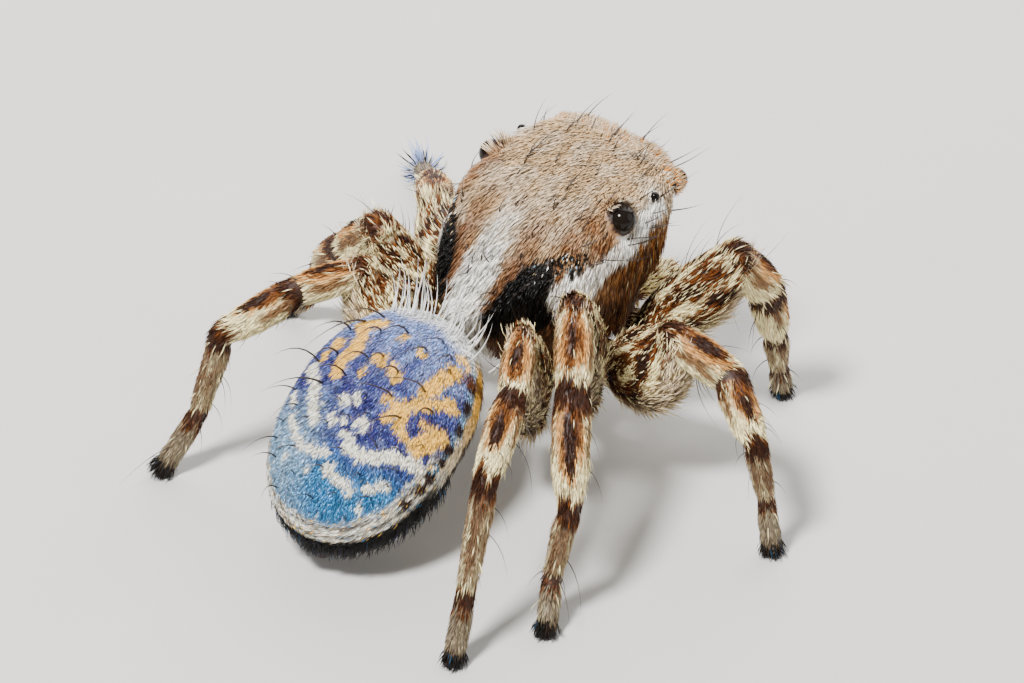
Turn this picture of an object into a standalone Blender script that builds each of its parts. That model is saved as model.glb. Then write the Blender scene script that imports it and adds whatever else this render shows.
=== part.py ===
"""A male peacock spider standing on the floor, one object for each part of the body.

It faces -Y with +Z up, so its right side is -X. The floor is z = 0, under the eight feet.
Shapes are drawn in millimetres, and an empty that carries them all brings them to metres.
"""

import math
import random

import bmesh
import bpy
import numpy as np
from mathutils import Matrix, Vector

# Driving dimensions in millimetres: forward is towards the head, side is towards the right.
CLEARANCE = 0.04
EYE_CLEARANCE = 0.015
HEAD_FRONT = 0.90
HEAD_REAR = -1.00
HEAD_MIDDLE_HEIGHT = 1.42
HEAD_FRONT_ROUNDNESS = 4.4
HEAD_BROW_ROUNDNESS = 9.0
HEAD_REAR_ROUNDNESS = 2.6
HEAD_TOP_ROUNDNESS = 4.6
HEAD_UNDER_ROUNDNESS = 2.2
HEAD_STATIONS = (-1.00, -0.80, -0.55, -0.25, 0.10, 0.50, 0.90)
HEAD_HALF_WIDTHS = (0.42, 0.53, 0.62, 0.68, 0.71, 0.71, 0.66)
HEAD_TOPS = (1.42, 1.68, 1.90, 2.02, 2.06, 2.06, 2.02)
HEAD_UNDERSIDES = (0.90, 0.77, 0.72, 0.72, 0.75, 0.92, 1.14)
FACE_SLANT = 0.38
FACE_TOP = 2.00
HEAD_SIDES = 28
HEAD_RINGS = 17

ABDOMEN_CENTRE = (-1.89, 0.83)
ABDOMEN_DROOP = math.radians(32)
ABDOMEN_SWING = math.radians(5.5)
ABDOMEN_HALF_LENGTH = 0.95
ABDOMEN_HALF_WIDTH = 0.70
ABDOMEN_DOME = 0.41
ABDOMEN_BELLY = 0.44
ABDOMEN_PLAN_ROUNDNESS = 2.25
ABDOMEN_DOME_ROUNDNESS = 2.5
ABDOMEN_SIDES = 28
ABDOMEN_RINGS = 15

# Each eye: forward, outward and height of its middle, its radius and its facets round and across.
EYES = {
    "anterior_median": (0.715, 0.215, 1.72, 0.200, 16, 10),
    "anterior_lateral": (0.725, 0.520, 1.85, 0.080, 12, 8),
    "posterior_median": (0.36, 0.632, 1.94, 0.036, 10, 6),
    "posterior_lateral": (0.03, 0.612, 1.910, 0.102, 12, 8),
}

# Each leg: hip, trochanter, knee, end of patella, end of tibia, end of metatarsus and tip,
# as forward, outward and height, then the radii of femur, patella, tibia, metatarsus, tarsus.
LEG_POSES = {
    "right_1": ((0.25, 0.36, 0.80), (0.32, 0.62, 0.78), (0.66, 1.13, 1.50), (0.88, 1.23, 1.16),
                (1.03, 1.21, 0.67), (1.13, 1.17, 0.31), (1.18, 1.16, 0.05)),
    "right_2": ((-0.08, 0.38, 0.78), (-0.10, 0.68, 0.74), (-0.21, 1.32, 1.36), (-0.12, 1.75, 1.17),
                (-0.33, 2.18, 0.93), (-0.28, 2.25, 0.46), (-0.29, 2.32, 0.05)),
    "right_3": ((-0.42, 0.38, 0.76), (-0.50, 0.72, 0.74), (-0.90, 1.00, 1.80), (-1.26, 1.30, 1.50),
                (-1.72, 1.68, 0.88), (-1.87, 1.66, 0.36), (-2.04, 1.76, 0.05)),
    "right_4": ((-0.74, 0.34, 0.78), (-0.92, 0.58, 0.74), (-1.25, 0.82, 1.66), (-1.66, 1.10, 1.54),
                (-2.29, 1.42, 1.31), (-2.56, 1.47, 0.51), (-2.72, 1.51, 0.05)),
    "left_1": ((0.25, 0.36, 0.80), (0.32, 0.62, 0.78), (0.98, 1.06, 1.20), (1.35, 1.15, 0.98),
               (1.68, 1.20, 0.62), (1.82, 1.20, 0.30), (1.90, 1.20, 0.05)),
    "left_2": ((-0.08, 0.38, 0.78), (-0.05, 0.68, 0.74), (0.33, 1.47, 0.94), (0.66, 1.74, 0.72),
               (0.99, 2.12, 0.44), (1.26, 2.39, 0.22), (1.45, 2.60, 0.05)),
    "left_3": ((-0.42, 0.38, 0.76), (-0.50, 0.72, 0.74), (-0.88, 0.88, 1.60), (-0.82, 1.23, 1.24),
               (-0.59, 1.72, 0.73), (-0.43, 1.95, 0.30), (-0.46, 2.16, 0.05)),
    "left_4": ((-0.74, 0.34, 0.78), (-0.92, 0.58, 0.74), (-1.16, 0.78, 1.43), (-1.53, 1.06, 1.32),
               (-2.16, 1.20, 1.21), (-2.25, 1.38, 0.50), (-2.48, 1.50, 0.05)),
}
# How far each pair's femora bow up, negative where they hang.
FEMUR_BOWS = {1: 0.00, 2: -0.12, 3: 0.04, 4: -0.02}
LEG_RADII = {
    1: (0.205, 0.160, 0.145, 0.110, 0.095),
    2: (0.235, 0.155, 0.145, 0.105, 0.090),
    3: (0.190, 0.155, 0.155, 0.105, 0.095),
    4: (0.180, 0.135, 0.140, 0.110, 0.095),
}
COXA_RADIUS = 0.140
FOOT_RADIUS = 0.085
TUBE_ROUNDNESS = 2
LEG_SIDES = 8
FEMUR_DEPTH = 1.35
TIBIA_DEPTH = 1.06
# How far inside the planes at a piece's ends its other rings stay.
JOINT_STEP = 0.012
LOCK_THICKNESS = 0.05
LOCK_SUNK = 0.045
# Sections of a lock: how far along it lies, its share of the full width and of its rise.
LOCK_SECTIONS = ((-0.22, 0.75, 0.0), (0.25, 1.0, 0.45), (0.66, 0.66, 0.86))
SIDE_LOCKS = 13
CLYPEUS_LOCKS = 7
BROW_LOCKS = 7
FRINGE_LOCKS = 27
BRUSH_LOCKS = 11
# Rows of locks on a leg's pieces: share of the piece's length, degrees from its side, and length.
FEMUR_LOCKS = ((0.40, -70, 0.18), (0.40, -112, 0.18), (0.50, -60, 0.18), (0.50, -120, 0.18),
               (0.62, -72, 0.16), (0.62, -108, 0.16), (0.70, -90, 0.12))
TIBIA_LOCKS = ((0.46, -70, 0.13), (0.50, -118, 0.13), (0.61, -80, 0.15), (0.68, -125, 0.13),
               (0.72, -98, 0.13), (0.55, 15, 0.12))
TARSUS_LOCKS = ((0.22, -90, 0.12), (0.42, -60, 0.12), (0.58, -120, 0.11))
FOOT_TUFT_LOCKS = 5
SEED = 11

COLOURS = {
    "carapace": (0.36, 0.27, 0.18, 1.0),
    "abdomen": (0.10, 0.14, 0.42, 1.0),
    "leg": (0.42, 0.27, 0.15, 1.0),
    "tarsus": (0.20, 0.16, 0.13, 1.0),
    "eye": (0.005, 0.005, 0.006, 1.0),
    "mouthparts": (0.30, 0.20, 0.12, 1.0),
    "underside": (0.16, 0.11, 0.08, 1.0),
}
GLOSSY = {"eye": 0.08}
PLAIN_ROUGHNESS = 0.7


def at(forward, right, height):
    """A point of the animal as x, y and z."""
    return Vector((-right, -forward, height))


def clear_scene():
    for thing in list(bpy.data.objects):
        bpy.data.objects.remove(thing)


def new_collection(name):
    collection = bpy.data.collections.new(name)
    bpy.context.scene.collection.children.link(collection)
    return collection


def material(name):
    made = bpy.data.materials.get(name)
    if made:
        return made
    made = bpy.data.materials.new(name)
    made.use_nodes = True
    shader = made.node_tree.nodes["Principled BSDF"]
    shader.inputs["Base Color"].default_value = COLOURS[name]
    shader.inputs["Roughness"].default_value = GLOSSY.get(name, PLAIN_ROUGHNESS)
    shader.inputs["Metallic"].default_value = 0.0
    return made


def smooth_through(value, stations, heights):
    """A smooth curve through the stations, by cubic steps with averaged slopes."""
    stations = np.asarray(stations, float)
    heights = np.asarray(heights, float)
    slopes = np.gradient(heights, stations)
    value = min(max(value, stations[0]), stations[-1])
    k = min(int(np.searchsorted(stations, value, side="right")) - 1, len(stations) - 2)
    step = stations[k + 1] - stations[k]
    u = (value - stations[k]) / step
    start = (1 + 2 * u) * (1 - u) ** 2 * heights[k] + u * (1 - u) ** 2 * step * slopes[k]
    end = u * u * (3 - 2 * u) * heights[k + 1] - u * u * (1 - u) * step * slopes[k + 1]
    return float(start + end)


def powered(value, exponent):
    return math.copysign(abs(value) ** exponent, value)


def loft(name, rings, start, end):
    """A closed surface through rings of points, drawn together to a point at each end."""
    mesh = bmesh.new()
    loops = [[mesh.verts.new(point) for point in ring] for ring in rings]
    for one, two in zip(loops, loops[1:]):
        for k in range(len(one)):
            j = (k + 1) % len(one)
            mesh.faces.new((one[k], one[j], two[j], two[k]))
    for tip, ring in ((start, loops[0]), (end, loops[-1])):
        apex = mesh.verts.new(tip)
        for k in range(len(ring)):
            mesh.faces.new((apex, ring[k], ring[(k + 1) % len(ring)]))
    bmesh.ops.recalc_face_normals(mesh, faces=mesh.faces)
    return finished(name, mesh)


def finished(name, mesh):
    data = bpy.data.meshes.new(name)
    mesh.to_mesh(data)
    mesh.free()
    made = bpy.data.objects.new(name, data)
    bpy.context.scene.collection.objects.link(made)
    return made


def tube(name, points, radii):
    """A round tube that swells and narrows along its points, made a mesh with welded caps."""
    curve = bpy.data.curves.new(name, "CURVE")
    curve.dimensions = "3D"
    curve.bevel_depth = 1.0
    curve.bevel_resolution = TUBE_ROUNDNESS
    curve.use_fill_caps = True
    spline = curve.splines.new("POLY")
    spline.points.add(len(points) - 1)
    for place, point, radius in zip(spline.points, points, radii):
        place.co = (*point, 1.0)
        place.radius = radius
    drawn = bpy.data.objects.new(name, curve)
    bpy.context.scene.collection.objects.link(drawn)
    graph = bpy.context.evaluated_depsgraph_get()
    data = bpy.data.meshes.new_from_object(drawn.evaluated_get(graph))
    bpy.data.objects.remove(drawn)
    bpy.data.curves.remove(curve)
    mesh = bmesh.new()
    mesh.from_mesh(data)
    bpy.data.meshes.remove(data)
    bmesh.ops.remove_doubles(mesh, verts=mesh.verts, dist=0.0005)
    bmesh.ops.recalc_face_normals(mesh, faces=mesh.faces)
    return finished(name, mesh)


def ball(name, centre, radius, segments, rings):
    mesh = bmesh.new()
    bmesh.ops.create_uvsphere(mesh, u_segments=segments, v_segments=rings, radius=radius)
    bmesh.ops.translate(mesh, verts=mesh.verts, vec=centre)
    return finished(name, mesh)


def keep_largest(thing):
    """Drops every closed surface of a mesh but the one with the most faces."""
    mesh = bmesh.new()
    mesh.from_mesh(thing.data)
    left = set(mesh.verts)
    bodies = []
    while left:
        found = {left.pop()}
        edge = set(found)
        while edge:
            near = {other for vert in edge for link in vert.link_edges for other in link.verts}
            edge = near - found
            found |= edge
        left -= found
        bodies.append(found)
    bodies.sort(key=lambda body: sum(len(vert.link_faces) for vert in body))
    for body in bodies[:-1]:
        bmesh.ops.delete(mesh, geom=list(body), context="VERTS")
    mesh.to_mesh(thing.data)
    mesh.free()


def boolean(thing, others, operation):
    """Joins the others to a mesh or cuts them from it, and removes them."""
    group = new_collection("operands")
    for other in others:
        bpy.context.scene.collection.objects.unlink(other)
        group.objects.link(other)
    step = thing.modifiers.new("step", "BOOLEAN")
    step.operation = operation
    step.operand_type = "COLLECTION"
    step.collection = group
    step.solver = "EXACT"
    graph = bpy.context.evaluated_depsgraph_get()
    data = bpy.data.meshes.new_from_object(thing.evaluated_get(graph))
    thing.modifiers.remove(step)
    thing.data = data
    for other in others:
        bpy.data.objects.remove(other)
    bpy.data.collections.remove(group)
    keep_largest(thing)


def closing(along, roundness):
    """How far a section shrinks towards an end, where along is -1 or 1."""
    return max(1 - abs(along) ** roundness, 0.0) ** (1 / roundness)


def spaced(count, first):
    """Stations from -1 to 1 that crowd towards both ends."""
    return [math.sin(math.pi / 2 * (2 * (k + first) / (count - 1 + 2 * first) - 1))
            for k in range(count)]


def around(count):
    return [math.tau * (k + 0.5) / count for k in range(count)]


def lock(root, lie, out, length, width, lift):
    """A flat tapered lock that leaves the skin, rises by a share of its length and bends over."""
    lie = (lie - out * lie.dot(out)).normalized()
    across = lie.cross(out).normalized()
    base = root - out * LOCK_SUNK
    rings = []
    for share, girth, rise in LOCK_SECTIONS:
        middle = base + lie * length * share + out * length * lift * rise
        half = across * width * girth / 2
        thick = out * LOCK_THICKNESS * girth / 2
        rings.append([middle + half, middle + thick, middle - half, middle - thick])
    tip = base + lie * length + out * length * lift
    return loft("lock", rings, base - lie * length * 0.3, tip)


def varied(value, share=0.15):
    return value * random.uniform(1 - share, 1 + share)


def head_point(along, angle, margin=0.0):
    """A point of the head and thorax: along runs from -1 at the rear to 1, angle from the right."""
    middle = (HEAD_FRONT + HEAD_REAR) / 2
    forward = middle + (HEAD_FRONT - HEAD_REAR) / 2 * along
    wide = closing(along, HEAD_FRONT_ROUNDNESS if along > 0 else HEAD_REAR_ROUNDNESS)
    high = closing(along, HEAD_BROW_ROUNDNESS if along > 0 else HEAD_REAR_ROUNDNESS)
    top = smooth_through(forward, HEAD_STATIONS, HEAD_TOPS)
    bottom = smooth_through(forward, HEAD_STATIONS, HEAD_UNDERSIDES)
    width = smooth_through(forward, HEAD_STATIONS, HEAD_HALF_WIDTHS) * wide + margin
    upper = math.sin(angle) > 0
    reach = (top - HEAD_MIDDLE_HEIGHT if upper else HEAD_MIDDLE_HEIGHT - bottom) * high + margin
    power = 2 / (HEAD_TOP_ROUNDNESS if upper else HEAD_UNDER_ROUNDNESS)
    side = width * powered(math.cos(angle), power)
    height = HEAD_MIDDLE_HEIGHT + reach * powered(math.sin(angle), power)
    slant = FACE_SLANT * max(along, 0.0) ** 2 * (FACE_TOP - height)
    return at(forward + margin * along - slant, side, height)


def head_shell(name, margin=0.0):
    stations = spaced(HEAD_RINGS, 0.6)
    rings = [[head_point(along, angle, margin) for angle in around(HEAD_SIDES)] for along in stations]
    rear, front = [(head_point(end, 0, margin) + head_point(end, math.pi, margin)) / 2
                   for end in (-1, 1)]
    return loft(name, rings, rear, front)


def outward(surface, along, angle):
    """The direction square to a surface that is a function of along and angle."""
    step = 0.004
    one = surface(along + step, angle) - surface(along - step, angle)
    two = surface(along, angle + step) - surface(along, angle - step)
    square = one.cross(two).normalized()
    return square if square.dot(surface(along, angle) - surface(along, angle + math.pi)) > 0 else -square


def head_locks():
    """Locks that hang from the sides of the head and thorax, from the clypeus and over the brow."""
    made = []
    for mirror in (1, -1):
        for k in range(SIDE_LOCKS):
            along = -0.72 + 1.50 * k / (SIDE_LOCKS - 1)
            angle = math.radians(-9 - 7 * (k % 2))
            angle = angle if mirror > 0 else math.pi - angle
            lie = Vector((0, 0.25, -1))
            made.append(lock(head_point(along, angle), lie, outward(head_point, along, angle),
                             varied(0.20), 0.16, 0.25))
    for k in range(CLYPEUS_LOCKS):
        angle = math.radians(-150 + 120 * k / (CLYPEUS_LOCKS - 1))
        made.append(lock(head_point(0.93, angle), Vector((0, 0, -1)), outward(head_point, 0.93, angle),
                         varied(0.17), 0.13, 0.35))
    for k in range(BROW_LOCKS):
        angle = math.radians(42 + 96 * k / (BROW_LOCKS - 1))
        made.append(lock(head_point(0.86, angle), Vector((0, -1, 0.2)), outward(head_point, 0.86, angle),
                         varied(0.12), 0.15, 0.40))
    return made


def on_abdomen(backward, right, above):
    """A point given along the drooping abdomen, across it and above its rim."""
    forward, height = ABDOMEN_CENTRE
    ahead = -backward * math.cos(ABDOMEN_DROOP) - above * math.sin(ABDOMEN_DROOP)
    height += above * math.cos(ABDOMEN_DROOP) - backward * math.sin(ABDOMEN_DROOP)
    forward += ahead * math.cos(ABDOMEN_SWING) + right * math.sin(ABDOMEN_SWING)
    side = right * math.cos(ABDOMEN_SWING) - ahead * math.sin(ABDOMEN_SWING)
    return at(forward, side, height)


def abdomen_point(along, angle, margin=0.0):
    """A point of the abdomen: along runs from -1 at the front to 1, angle from the right rim."""
    narrow = closing(along, ABDOMEN_PLAN_ROUNDNESS)
    upper = math.sin(angle) > 0
    power = 2 / ABDOMEN_DOME_ROUNDNESS if upper else 1.0
    rise = ABDOMEN_DOME if upper else ABDOMEN_BELLY
    side = (ABDOMEN_HALF_WIDTH * narrow + margin) * powered(math.cos(angle), power)
    lift = (rise * narrow + margin) * powered(math.sin(angle), power)
    return on_abdomen((ABDOMEN_HALF_LENGTH + margin) * along, side, lift)


def abdomen_shell(name, margin=0.0):
    stations = spaced(ABDOMEN_RINGS, 0.7)
    rings = [[abdomen_point(along, angle, margin) for angle in around(ABDOMEN_SIDES)]
             for along in stations]
    reach = ABDOMEN_HALF_LENGTH + margin
    return loft(name, rings, on_abdomen(-reach, 0, 0), on_abdomen(reach, 0, 0))


def abdomen_locks():
    """The dark fringe that hangs from the rear rim, and the pale brush that stands at the front."""
    made = []
    for k in range(FRINGE_LOCKS):
        turn = math.pi * (-0.60 + 1.20 * k / (FRINGE_LOCKS - 1))
        along = math.cos(turn) * 0.985
        angle = math.radians(-16) if turn > 0 else math.pi + math.radians(16)
        root = abdomen_point(along, angle)
        out = outward(abdomen_point, along, angle)
        lie = Vector((out.x, out.y, -0.9))
        made.append(lock(root, lie, out, varied(0.24), 0.16, 0.45))
    for k in range(BRUSH_LOCKS):
        angle = math.radians(12 + 156 * k / (BRUSH_LOCKS - 1))
        along = -0.88 + 0.05 * (k % 2)
        root = abdomen_point(along, angle)
        out = (outward(abdomen_point, along, angle) + Vector((0, 0.9, 0))).normalized()
        made.append(lock(root, Vector((0, 0.10, 1)), out, varied(0.33), 0.10, 0.10))
    return made


def eyeballs(suffix, margin=0.0):
    """The eight eyes, or the eight sockets that are a little wider."""
    made = []
    for kind, (forward, outward, height, radius, segments, rings) in EYES.items():
        for side, sign in (("right", 1), ("left", -1)):
            centre = at(forward, sign * outward, height)
            made.append(ball(f"eye_{kind}_{side}{suffix}", centre, radius + margin, segments, rings))
    return made


def body_parts():
    """The head and thorax with a socket for each eye, the abdomen, the waist and the spinnerets."""
    head = head_shell("cephalothorax")
    boolean(head, head_locks(), "UNION")
    boolean(head, eyeballs("_socket", EYE_CLEARANCE), "DIFFERENCE")
    abdomen = abdomen_shell("abdomen")
    boolean(abdomen, abdomen_locks(), "UNION")
    waist = tube("pedicel", [at(-0.80, 0, 1.08), at(-1.30, 0, 1.02)], [0.11, 0.11])
    boolean(waist, [head_shell("near", CLEARANCE), abdomen_shell("near", CLEARANCE)], "DIFFERENCE")
    spinnerets = tube("spinnerets", [on_abdomen(0.70, 0, -0.18), on_abdomen(0.96, 0, -0.25)], [0.12, 0.07])
    boolean(spinnerets, [abdomen_shell("near", CLEARANCE)], "DIFFERENCE")
    return {"carapace": [head], "abdomen": [abdomen], "underside": [waist, spinnerets]}


def mouthparts(side, sign):
    """One chelica and one palp, both cut clear of the head."""
    jaw = [at(0.52, sign * 0.155, 1.15), at(0.60, sign * 0.16, 0.90), at(0.62, sign * 0.15, 0.60)]
    chelicera = tube(f"chelicera_{side}", jaw, [0.12, 0.125, 0.08])
    feeler = [at(0.44, sign * 0.36, 0.90), at(0.62, sign * 0.42, 0.98), at(0.76, sign * 0.40, 0.96)]
    feeler += [at(0.80, sign * 0.37, 0.80), at(0.78, sign * 0.35, 0.60)]
    palp = tube(f"palp_{side}", feeler, [0.08, 0.09, 0.10, 0.11, 0.07])
    for piece in (chelicera, palp):
        boolean(piece, [head_shell("near", CLEARANCE)], "DIFFERENCE")
    return [chelicera, palp]


def bisector(before, joint, after):
    return ((joint - before).normalized() + (after - joint).normalized()).normalized()


def between(one, two, share):
    return one + (two - one) * share


def limb(name, points, widths, depth, across, first, last):
    """A leg's piece: oval rings square to its path, none past the planes that square off its ends."""
    first = first.normalized()
    last = last.normalized()
    rings = []
    for k, (point, width) in enumerate(zip(points, widths)):
        ahead = points[min(k + 1, len(points) - 1)] - points[max(k - 1, 0)]
        heading = first if k == 0 else last if k == len(points) - 1 else ahead.normalized()
        above = across.cross(heading).normalized()
        beside = heading.cross(above)
        deep = width * (1 + (depth - 1) * math.sin(math.pi * k / (len(points) - 1)))
        ring = [point + beside * width * math.cos(angle) + above * deep * math.sin(angle)
                for angle in around(LEG_SIDES)]
        start = points[0] + first * (JOINT_STEP if k > 0 else 0.0)
        end = points[-1] - last * (JOINT_STEP if k < len(points) - 1 else 0.0)
        ring = [spot + first * max(0.0, (start - spot).dot(first)) for spot in ring]
        rings.append([spot - last * max(0.0, (spot - end).dot(last)) for spot in ring])
    return loft(name, rings, points[0], points[-1])


def limb_locks(points, widths, depth, across, rows):
    """Locks that lie along a leg's piece towards its tip, rooted round it where the rows say."""
    lengths = [(two - one).length for one, two in zip(points, points[1:])]
    made = []
    for share, degrees, length in rows:
        reach = min(share * varied(1, 0.04), 0.98) * sum(lengths)
        k = 0
        while reach > lengths[k]:
            reach -= lengths[k]
            k += 1
        part = reach / lengths[k]
        heading = (points[k + 1] - points[k]).normalized()
        above = across.cross(heading).normalized()
        beside = heading.cross(above)
        angle = math.radians(degrees + random.uniform(-8, 8))
        width = widths[k] + (widths[k + 1] - widths[k]) * part
        deep = width * (1 + (depth - 1) * math.sin(math.pi * (k + part) / (len(points) - 1)))
        middle = between(points[k], points[k + 1], part)
        root = middle + beside * width * math.cos(angle) + above * deep * math.sin(angle)
        out = (root - middle).normalized()
        made.append(lock(root, heading, out, varied(length), width * 0.85, 0.42))
    return made


def foot_tuft(foot, heading):
    """Short locks round a foot that spread over the floor and stay above it."""
    made = []
    for k in range(FOOT_TUFT_LOCKS):
        turn = math.radians(-80 + 160 * k / (FOOT_TUFT_LOCKS - 1))
        out = Vector((heading.x, heading.y, 0)).normalized()
        out.rotate(Matrix.Rotation(turn, 3, "Z"))
        root = foot + out * FOOT_RADIUS * 0.95 + Vector((0, 0, 0.085))
        made.append(lock(root, Vector((0, 0, -1)), out, 0.075, 0.09, 0.50))
    return made


def leg(name, pose, radii):
    """Three pieces: coxa to femur, patella with tibia, and metatarsus with tarsus on its flat."""
    side = 1 if name.startswith("right") else -1
    hip, trochanter, knee, shin, ankle, toe, tip = [at(f, side * r, z) for f, r, z in pose]
    femur, patella, tibia, metatarsus, tarsus = radii
    bend = bisector(trochanter, knee, shin)
    turn = bisector(shin, ankle, toe)
    across = (tip - trochanter).cross(Vector((0, 0, 1))).normalized()
    half_gap = CLEARANCE / 2
    arch = Vector((math.copysign(0.04, knee.x), 0, FEMUR_BOWS[int(name[-1])]))
    points = [hip, between(hip, trochanter, 0.6), trochanter]
    points += [between(trochanter, knee, share) + arch * lift
               for share, lift in ((0.2, 0.6), (0.45, 1.0), (0.72, 0.8))]
    points += [between(trochanter, knee, 0.92) + arch * 0.2, knee - bend * half_gap]
    widths = [COXA_RADIUS, COXA_RADIUS, COXA_RADIUS, femur * 0.85, femur, femur * 0.92]
    widths += [patella, patella * 0.85]
    upper = limb(f"leg_{name}_femur", points, widths, FEMUR_DEPTH, across, trochanter - hip, bend)
    upper_locks = limb_locks(points, widths, FEMUR_DEPTH, across, FEMUR_LOCKS)
    points = [knee + bend * half_gap, between(knee, shin, 0.35), between(knee, shin, 0.75), shin]
    points += [between(shin, ankle, 0.30), between(shin, ankle, 0.68), ankle - turn * half_gap]
    widths = [patella * 0.85, patella, patella, patella * 0.9]
    widths += [tibia, tibia * 0.95, metatarsus]
    middle = limb(f"leg_{name}_tibia", points, widths, TIBIA_DEPTH, across, bend, turn)
    near_middle = limb("near", points, [width + CLEARANCE for width in widths], TIBIA_DEPTH,
                       across, bend, turn)
    boolean(middle, limb_locks(points, widths, TIBIA_DEPTH, across, TIBIA_LOCKS), "UNION")
    floor_point = Vector((tip.x, tip.y, 0))
    points = [ankle + turn * half_gap, between(ankle, toe, 0.3), between(ankle, toe, 0.75), toe]
    points += [between(toe, tip, 0.45), Vector((tip.x, tip.y, FOOT_RADIUS)), floor_point]
    widths = [metatarsus, metatarsus, metatarsus * 0.88, tarsus * 0.92]
    widths += [tarsus, FOOT_RADIUS * 1.1, FOOT_RADIUS]
    lower = limb(f"leg_{name}_tarsus", points, widths, 1.0, across, turn, Vector((0, 0, -1)))
    tuft = foot_tuft(floor_point, tip - ankle)
    boolean(lower, limb_locks(points, widths, 1.0, across, TARSUS_LOCKS) + tuft, "UNION")
    boolean(upper, upper_locks, "UNION")
    boolean(upper, [head_shell("near", CLEARANCE), near_middle], "DIFFERENCE")
    return upper, middle, lower


def settle_on_origin(pieces):
    """Hangs every piece on an empty that scales to metres, with its box's middle over the origin."""
    corners = np.array([vert.co[:] for piece in pieces for vert in piece.data.vertices])
    low = corners.min(axis=0)
    high = corners.max(axis=0)
    anchor = bpy.data.objects.new("peacock_spider_anchor", None)
    bpy.context.scene.collection.objects.link(anchor)
    anchor.scale = (0.001, 0.001, 0.001)
    anchor.location = (-(low[0] + high[0]) / 2000, -(low[1] + high[1]) / 2000, -low[2] / 1000)
    for piece in pieces:
        piece.parent = anchor


def main():
    clear_scene()
    random.seed(SEED)
    kept = new_collection("peacock_spider")
    groups = {name: [] for name in COLOURS}
    for name, pieces in body_parts().items():
        groups[name] += pieces
    groups["eye"] = eyeballs("")
    for side, sign in (("right", 1), ("left", -1)):
        groups["mouthparts"] += mouthparts(side, sign)
    for name, pose in LEG_POSES.items():
        upper, middle, lower = leg(name, pose, LEG_RADII[int(name[-1])])
        groups["leg"] += [upper, middle]
        groups["tarsus"].append(lower)
    for name, pieces in groups.items():
        for piece in pieces:
            bpy.context.scene.collection.objects.unlink(piece)
            kept.objects.link(piece)
            piece.data.materials.clear()
            piece.data.materials.append(material(name))
            piece.data.shade_smooth()
    settle_on_origin([piece for pieces in groups.values() for piece in pieces])


main()
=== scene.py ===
"""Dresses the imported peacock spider: one skin under a coat of mesh tufts, eyes, bristles, claws.

Shapes are worked out in millimetres as functions of two parameters, with x towards the spider's
left, y towards its rear and z up, and are brought to metres and to the frame's place at the end.
"""

import math

import bpy
import numpy as np
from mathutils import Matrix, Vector


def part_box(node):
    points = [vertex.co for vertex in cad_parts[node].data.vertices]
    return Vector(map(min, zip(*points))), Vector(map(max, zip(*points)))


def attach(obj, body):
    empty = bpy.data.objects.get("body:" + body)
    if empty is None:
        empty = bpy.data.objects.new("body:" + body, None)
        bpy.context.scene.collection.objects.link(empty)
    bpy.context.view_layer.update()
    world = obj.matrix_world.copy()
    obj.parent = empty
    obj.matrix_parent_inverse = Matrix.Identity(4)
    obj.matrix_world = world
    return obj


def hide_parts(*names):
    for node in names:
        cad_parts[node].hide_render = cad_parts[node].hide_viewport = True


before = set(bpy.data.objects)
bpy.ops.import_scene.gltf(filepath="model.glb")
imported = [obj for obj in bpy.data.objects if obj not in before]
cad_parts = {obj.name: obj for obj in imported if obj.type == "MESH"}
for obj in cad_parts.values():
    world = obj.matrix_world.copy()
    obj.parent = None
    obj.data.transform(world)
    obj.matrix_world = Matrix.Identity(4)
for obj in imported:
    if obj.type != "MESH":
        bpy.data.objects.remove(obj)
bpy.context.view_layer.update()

bl_info = {
    "name": "Peacock spider",
    "version": (1, 0, 0),
    "blender": (4, 5, 0),
    "location": "3D View > Sidebar > Spider",
    "description": "Builds the skin, coat, eyes, bristles and stage of a peacock spider",
    "category": "Add Mesh",
}

MM = 0.001
SEED = 7
SIDES = (("right", 1), ("left", -1))

# Shape of the head in millimetres, as the solids have it, with the cheeks drawn in a little further.
HEAD_FRONT = 0.90
HEAD_REAR = -1.00
HEAD_MIDDLE_HEIGHT = 1.42
HEAD_FRONT_ROUNDNESS = 4.4
HEAD_BROW_ROUNDNESS = 9.0
HEAD_REAR_ROUNDNESS = 2.6
HEAD_TOP_ROUNDNESS = 4.6
HEAD_UNDER_ROUNDNESS = 2.2
HEAD_ALONG_ROUNDNESS = 5.0
HEAD_STATIONS = np.array((-1.00, -0.80, -0.55, -0.25, 0.10, 0.50, 0.90))
HEAD_HALF_WIDTHS = np.array((0.42, 0.53, 0.62, 0.68, 0.71, 0.71, 0.66))
HEAD_TOPS = np.array((1.42, 1.68, 1.90, 2.02, 2.06, 2.06, 2.02))
HEAD_UNDERSIDES = np.array((0.90, 0.77, 0.72, 0.72, 0.75, 0.92, 1.14))
FACE_SLANT = 0.38
FACE_TOP = 2.00
CHEEK_SLANT = 0.25
CHEEK_PINCH = 0.15
CHEEK_HEIGHTS = (1.55, 1.15)
CHEEK_START = (0.0, 0.4)
# Half width and half height that the head's bake map takes for points beside the sockets.
HEAD_MAP_SIZE = (0.70, 0.62)

# Shape of the abdomen: forward and height of its middle, its turns and its sizes.
ABDOMEN_CENTRE = (-1.89, 0.83)
ABDOMEN_DROOP = math.radians(32)
ABDOMEN_SWING = math.radians(5.5)
ABDOMEN_HALF_LENGTH = 0.95
ABDOMEN_HALF_WIDTH = 0.70
ABDOMEN_DOME = 0.41
ABDOMEN_BELLY = 0.44
ABDOMEN_PLAN_ROUNDNESS = 2.25
ABDOMEN_DOME_ROUNDNESS = 2.5

# Each eye: forward, outward and height of its middle, and its radius.
EYES = {
    "anterior_median": (0.715, 0.215, 1.72, 0.200),
    "anterior_lateral": (0.725, 0.520, 1.85, 0.080),
    "posterior_median": (0.36, 0.632, 1.94, 0.036),
    "posterior_lateral": (0.03, 0.612, 1.910, 0.102),
}
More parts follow.
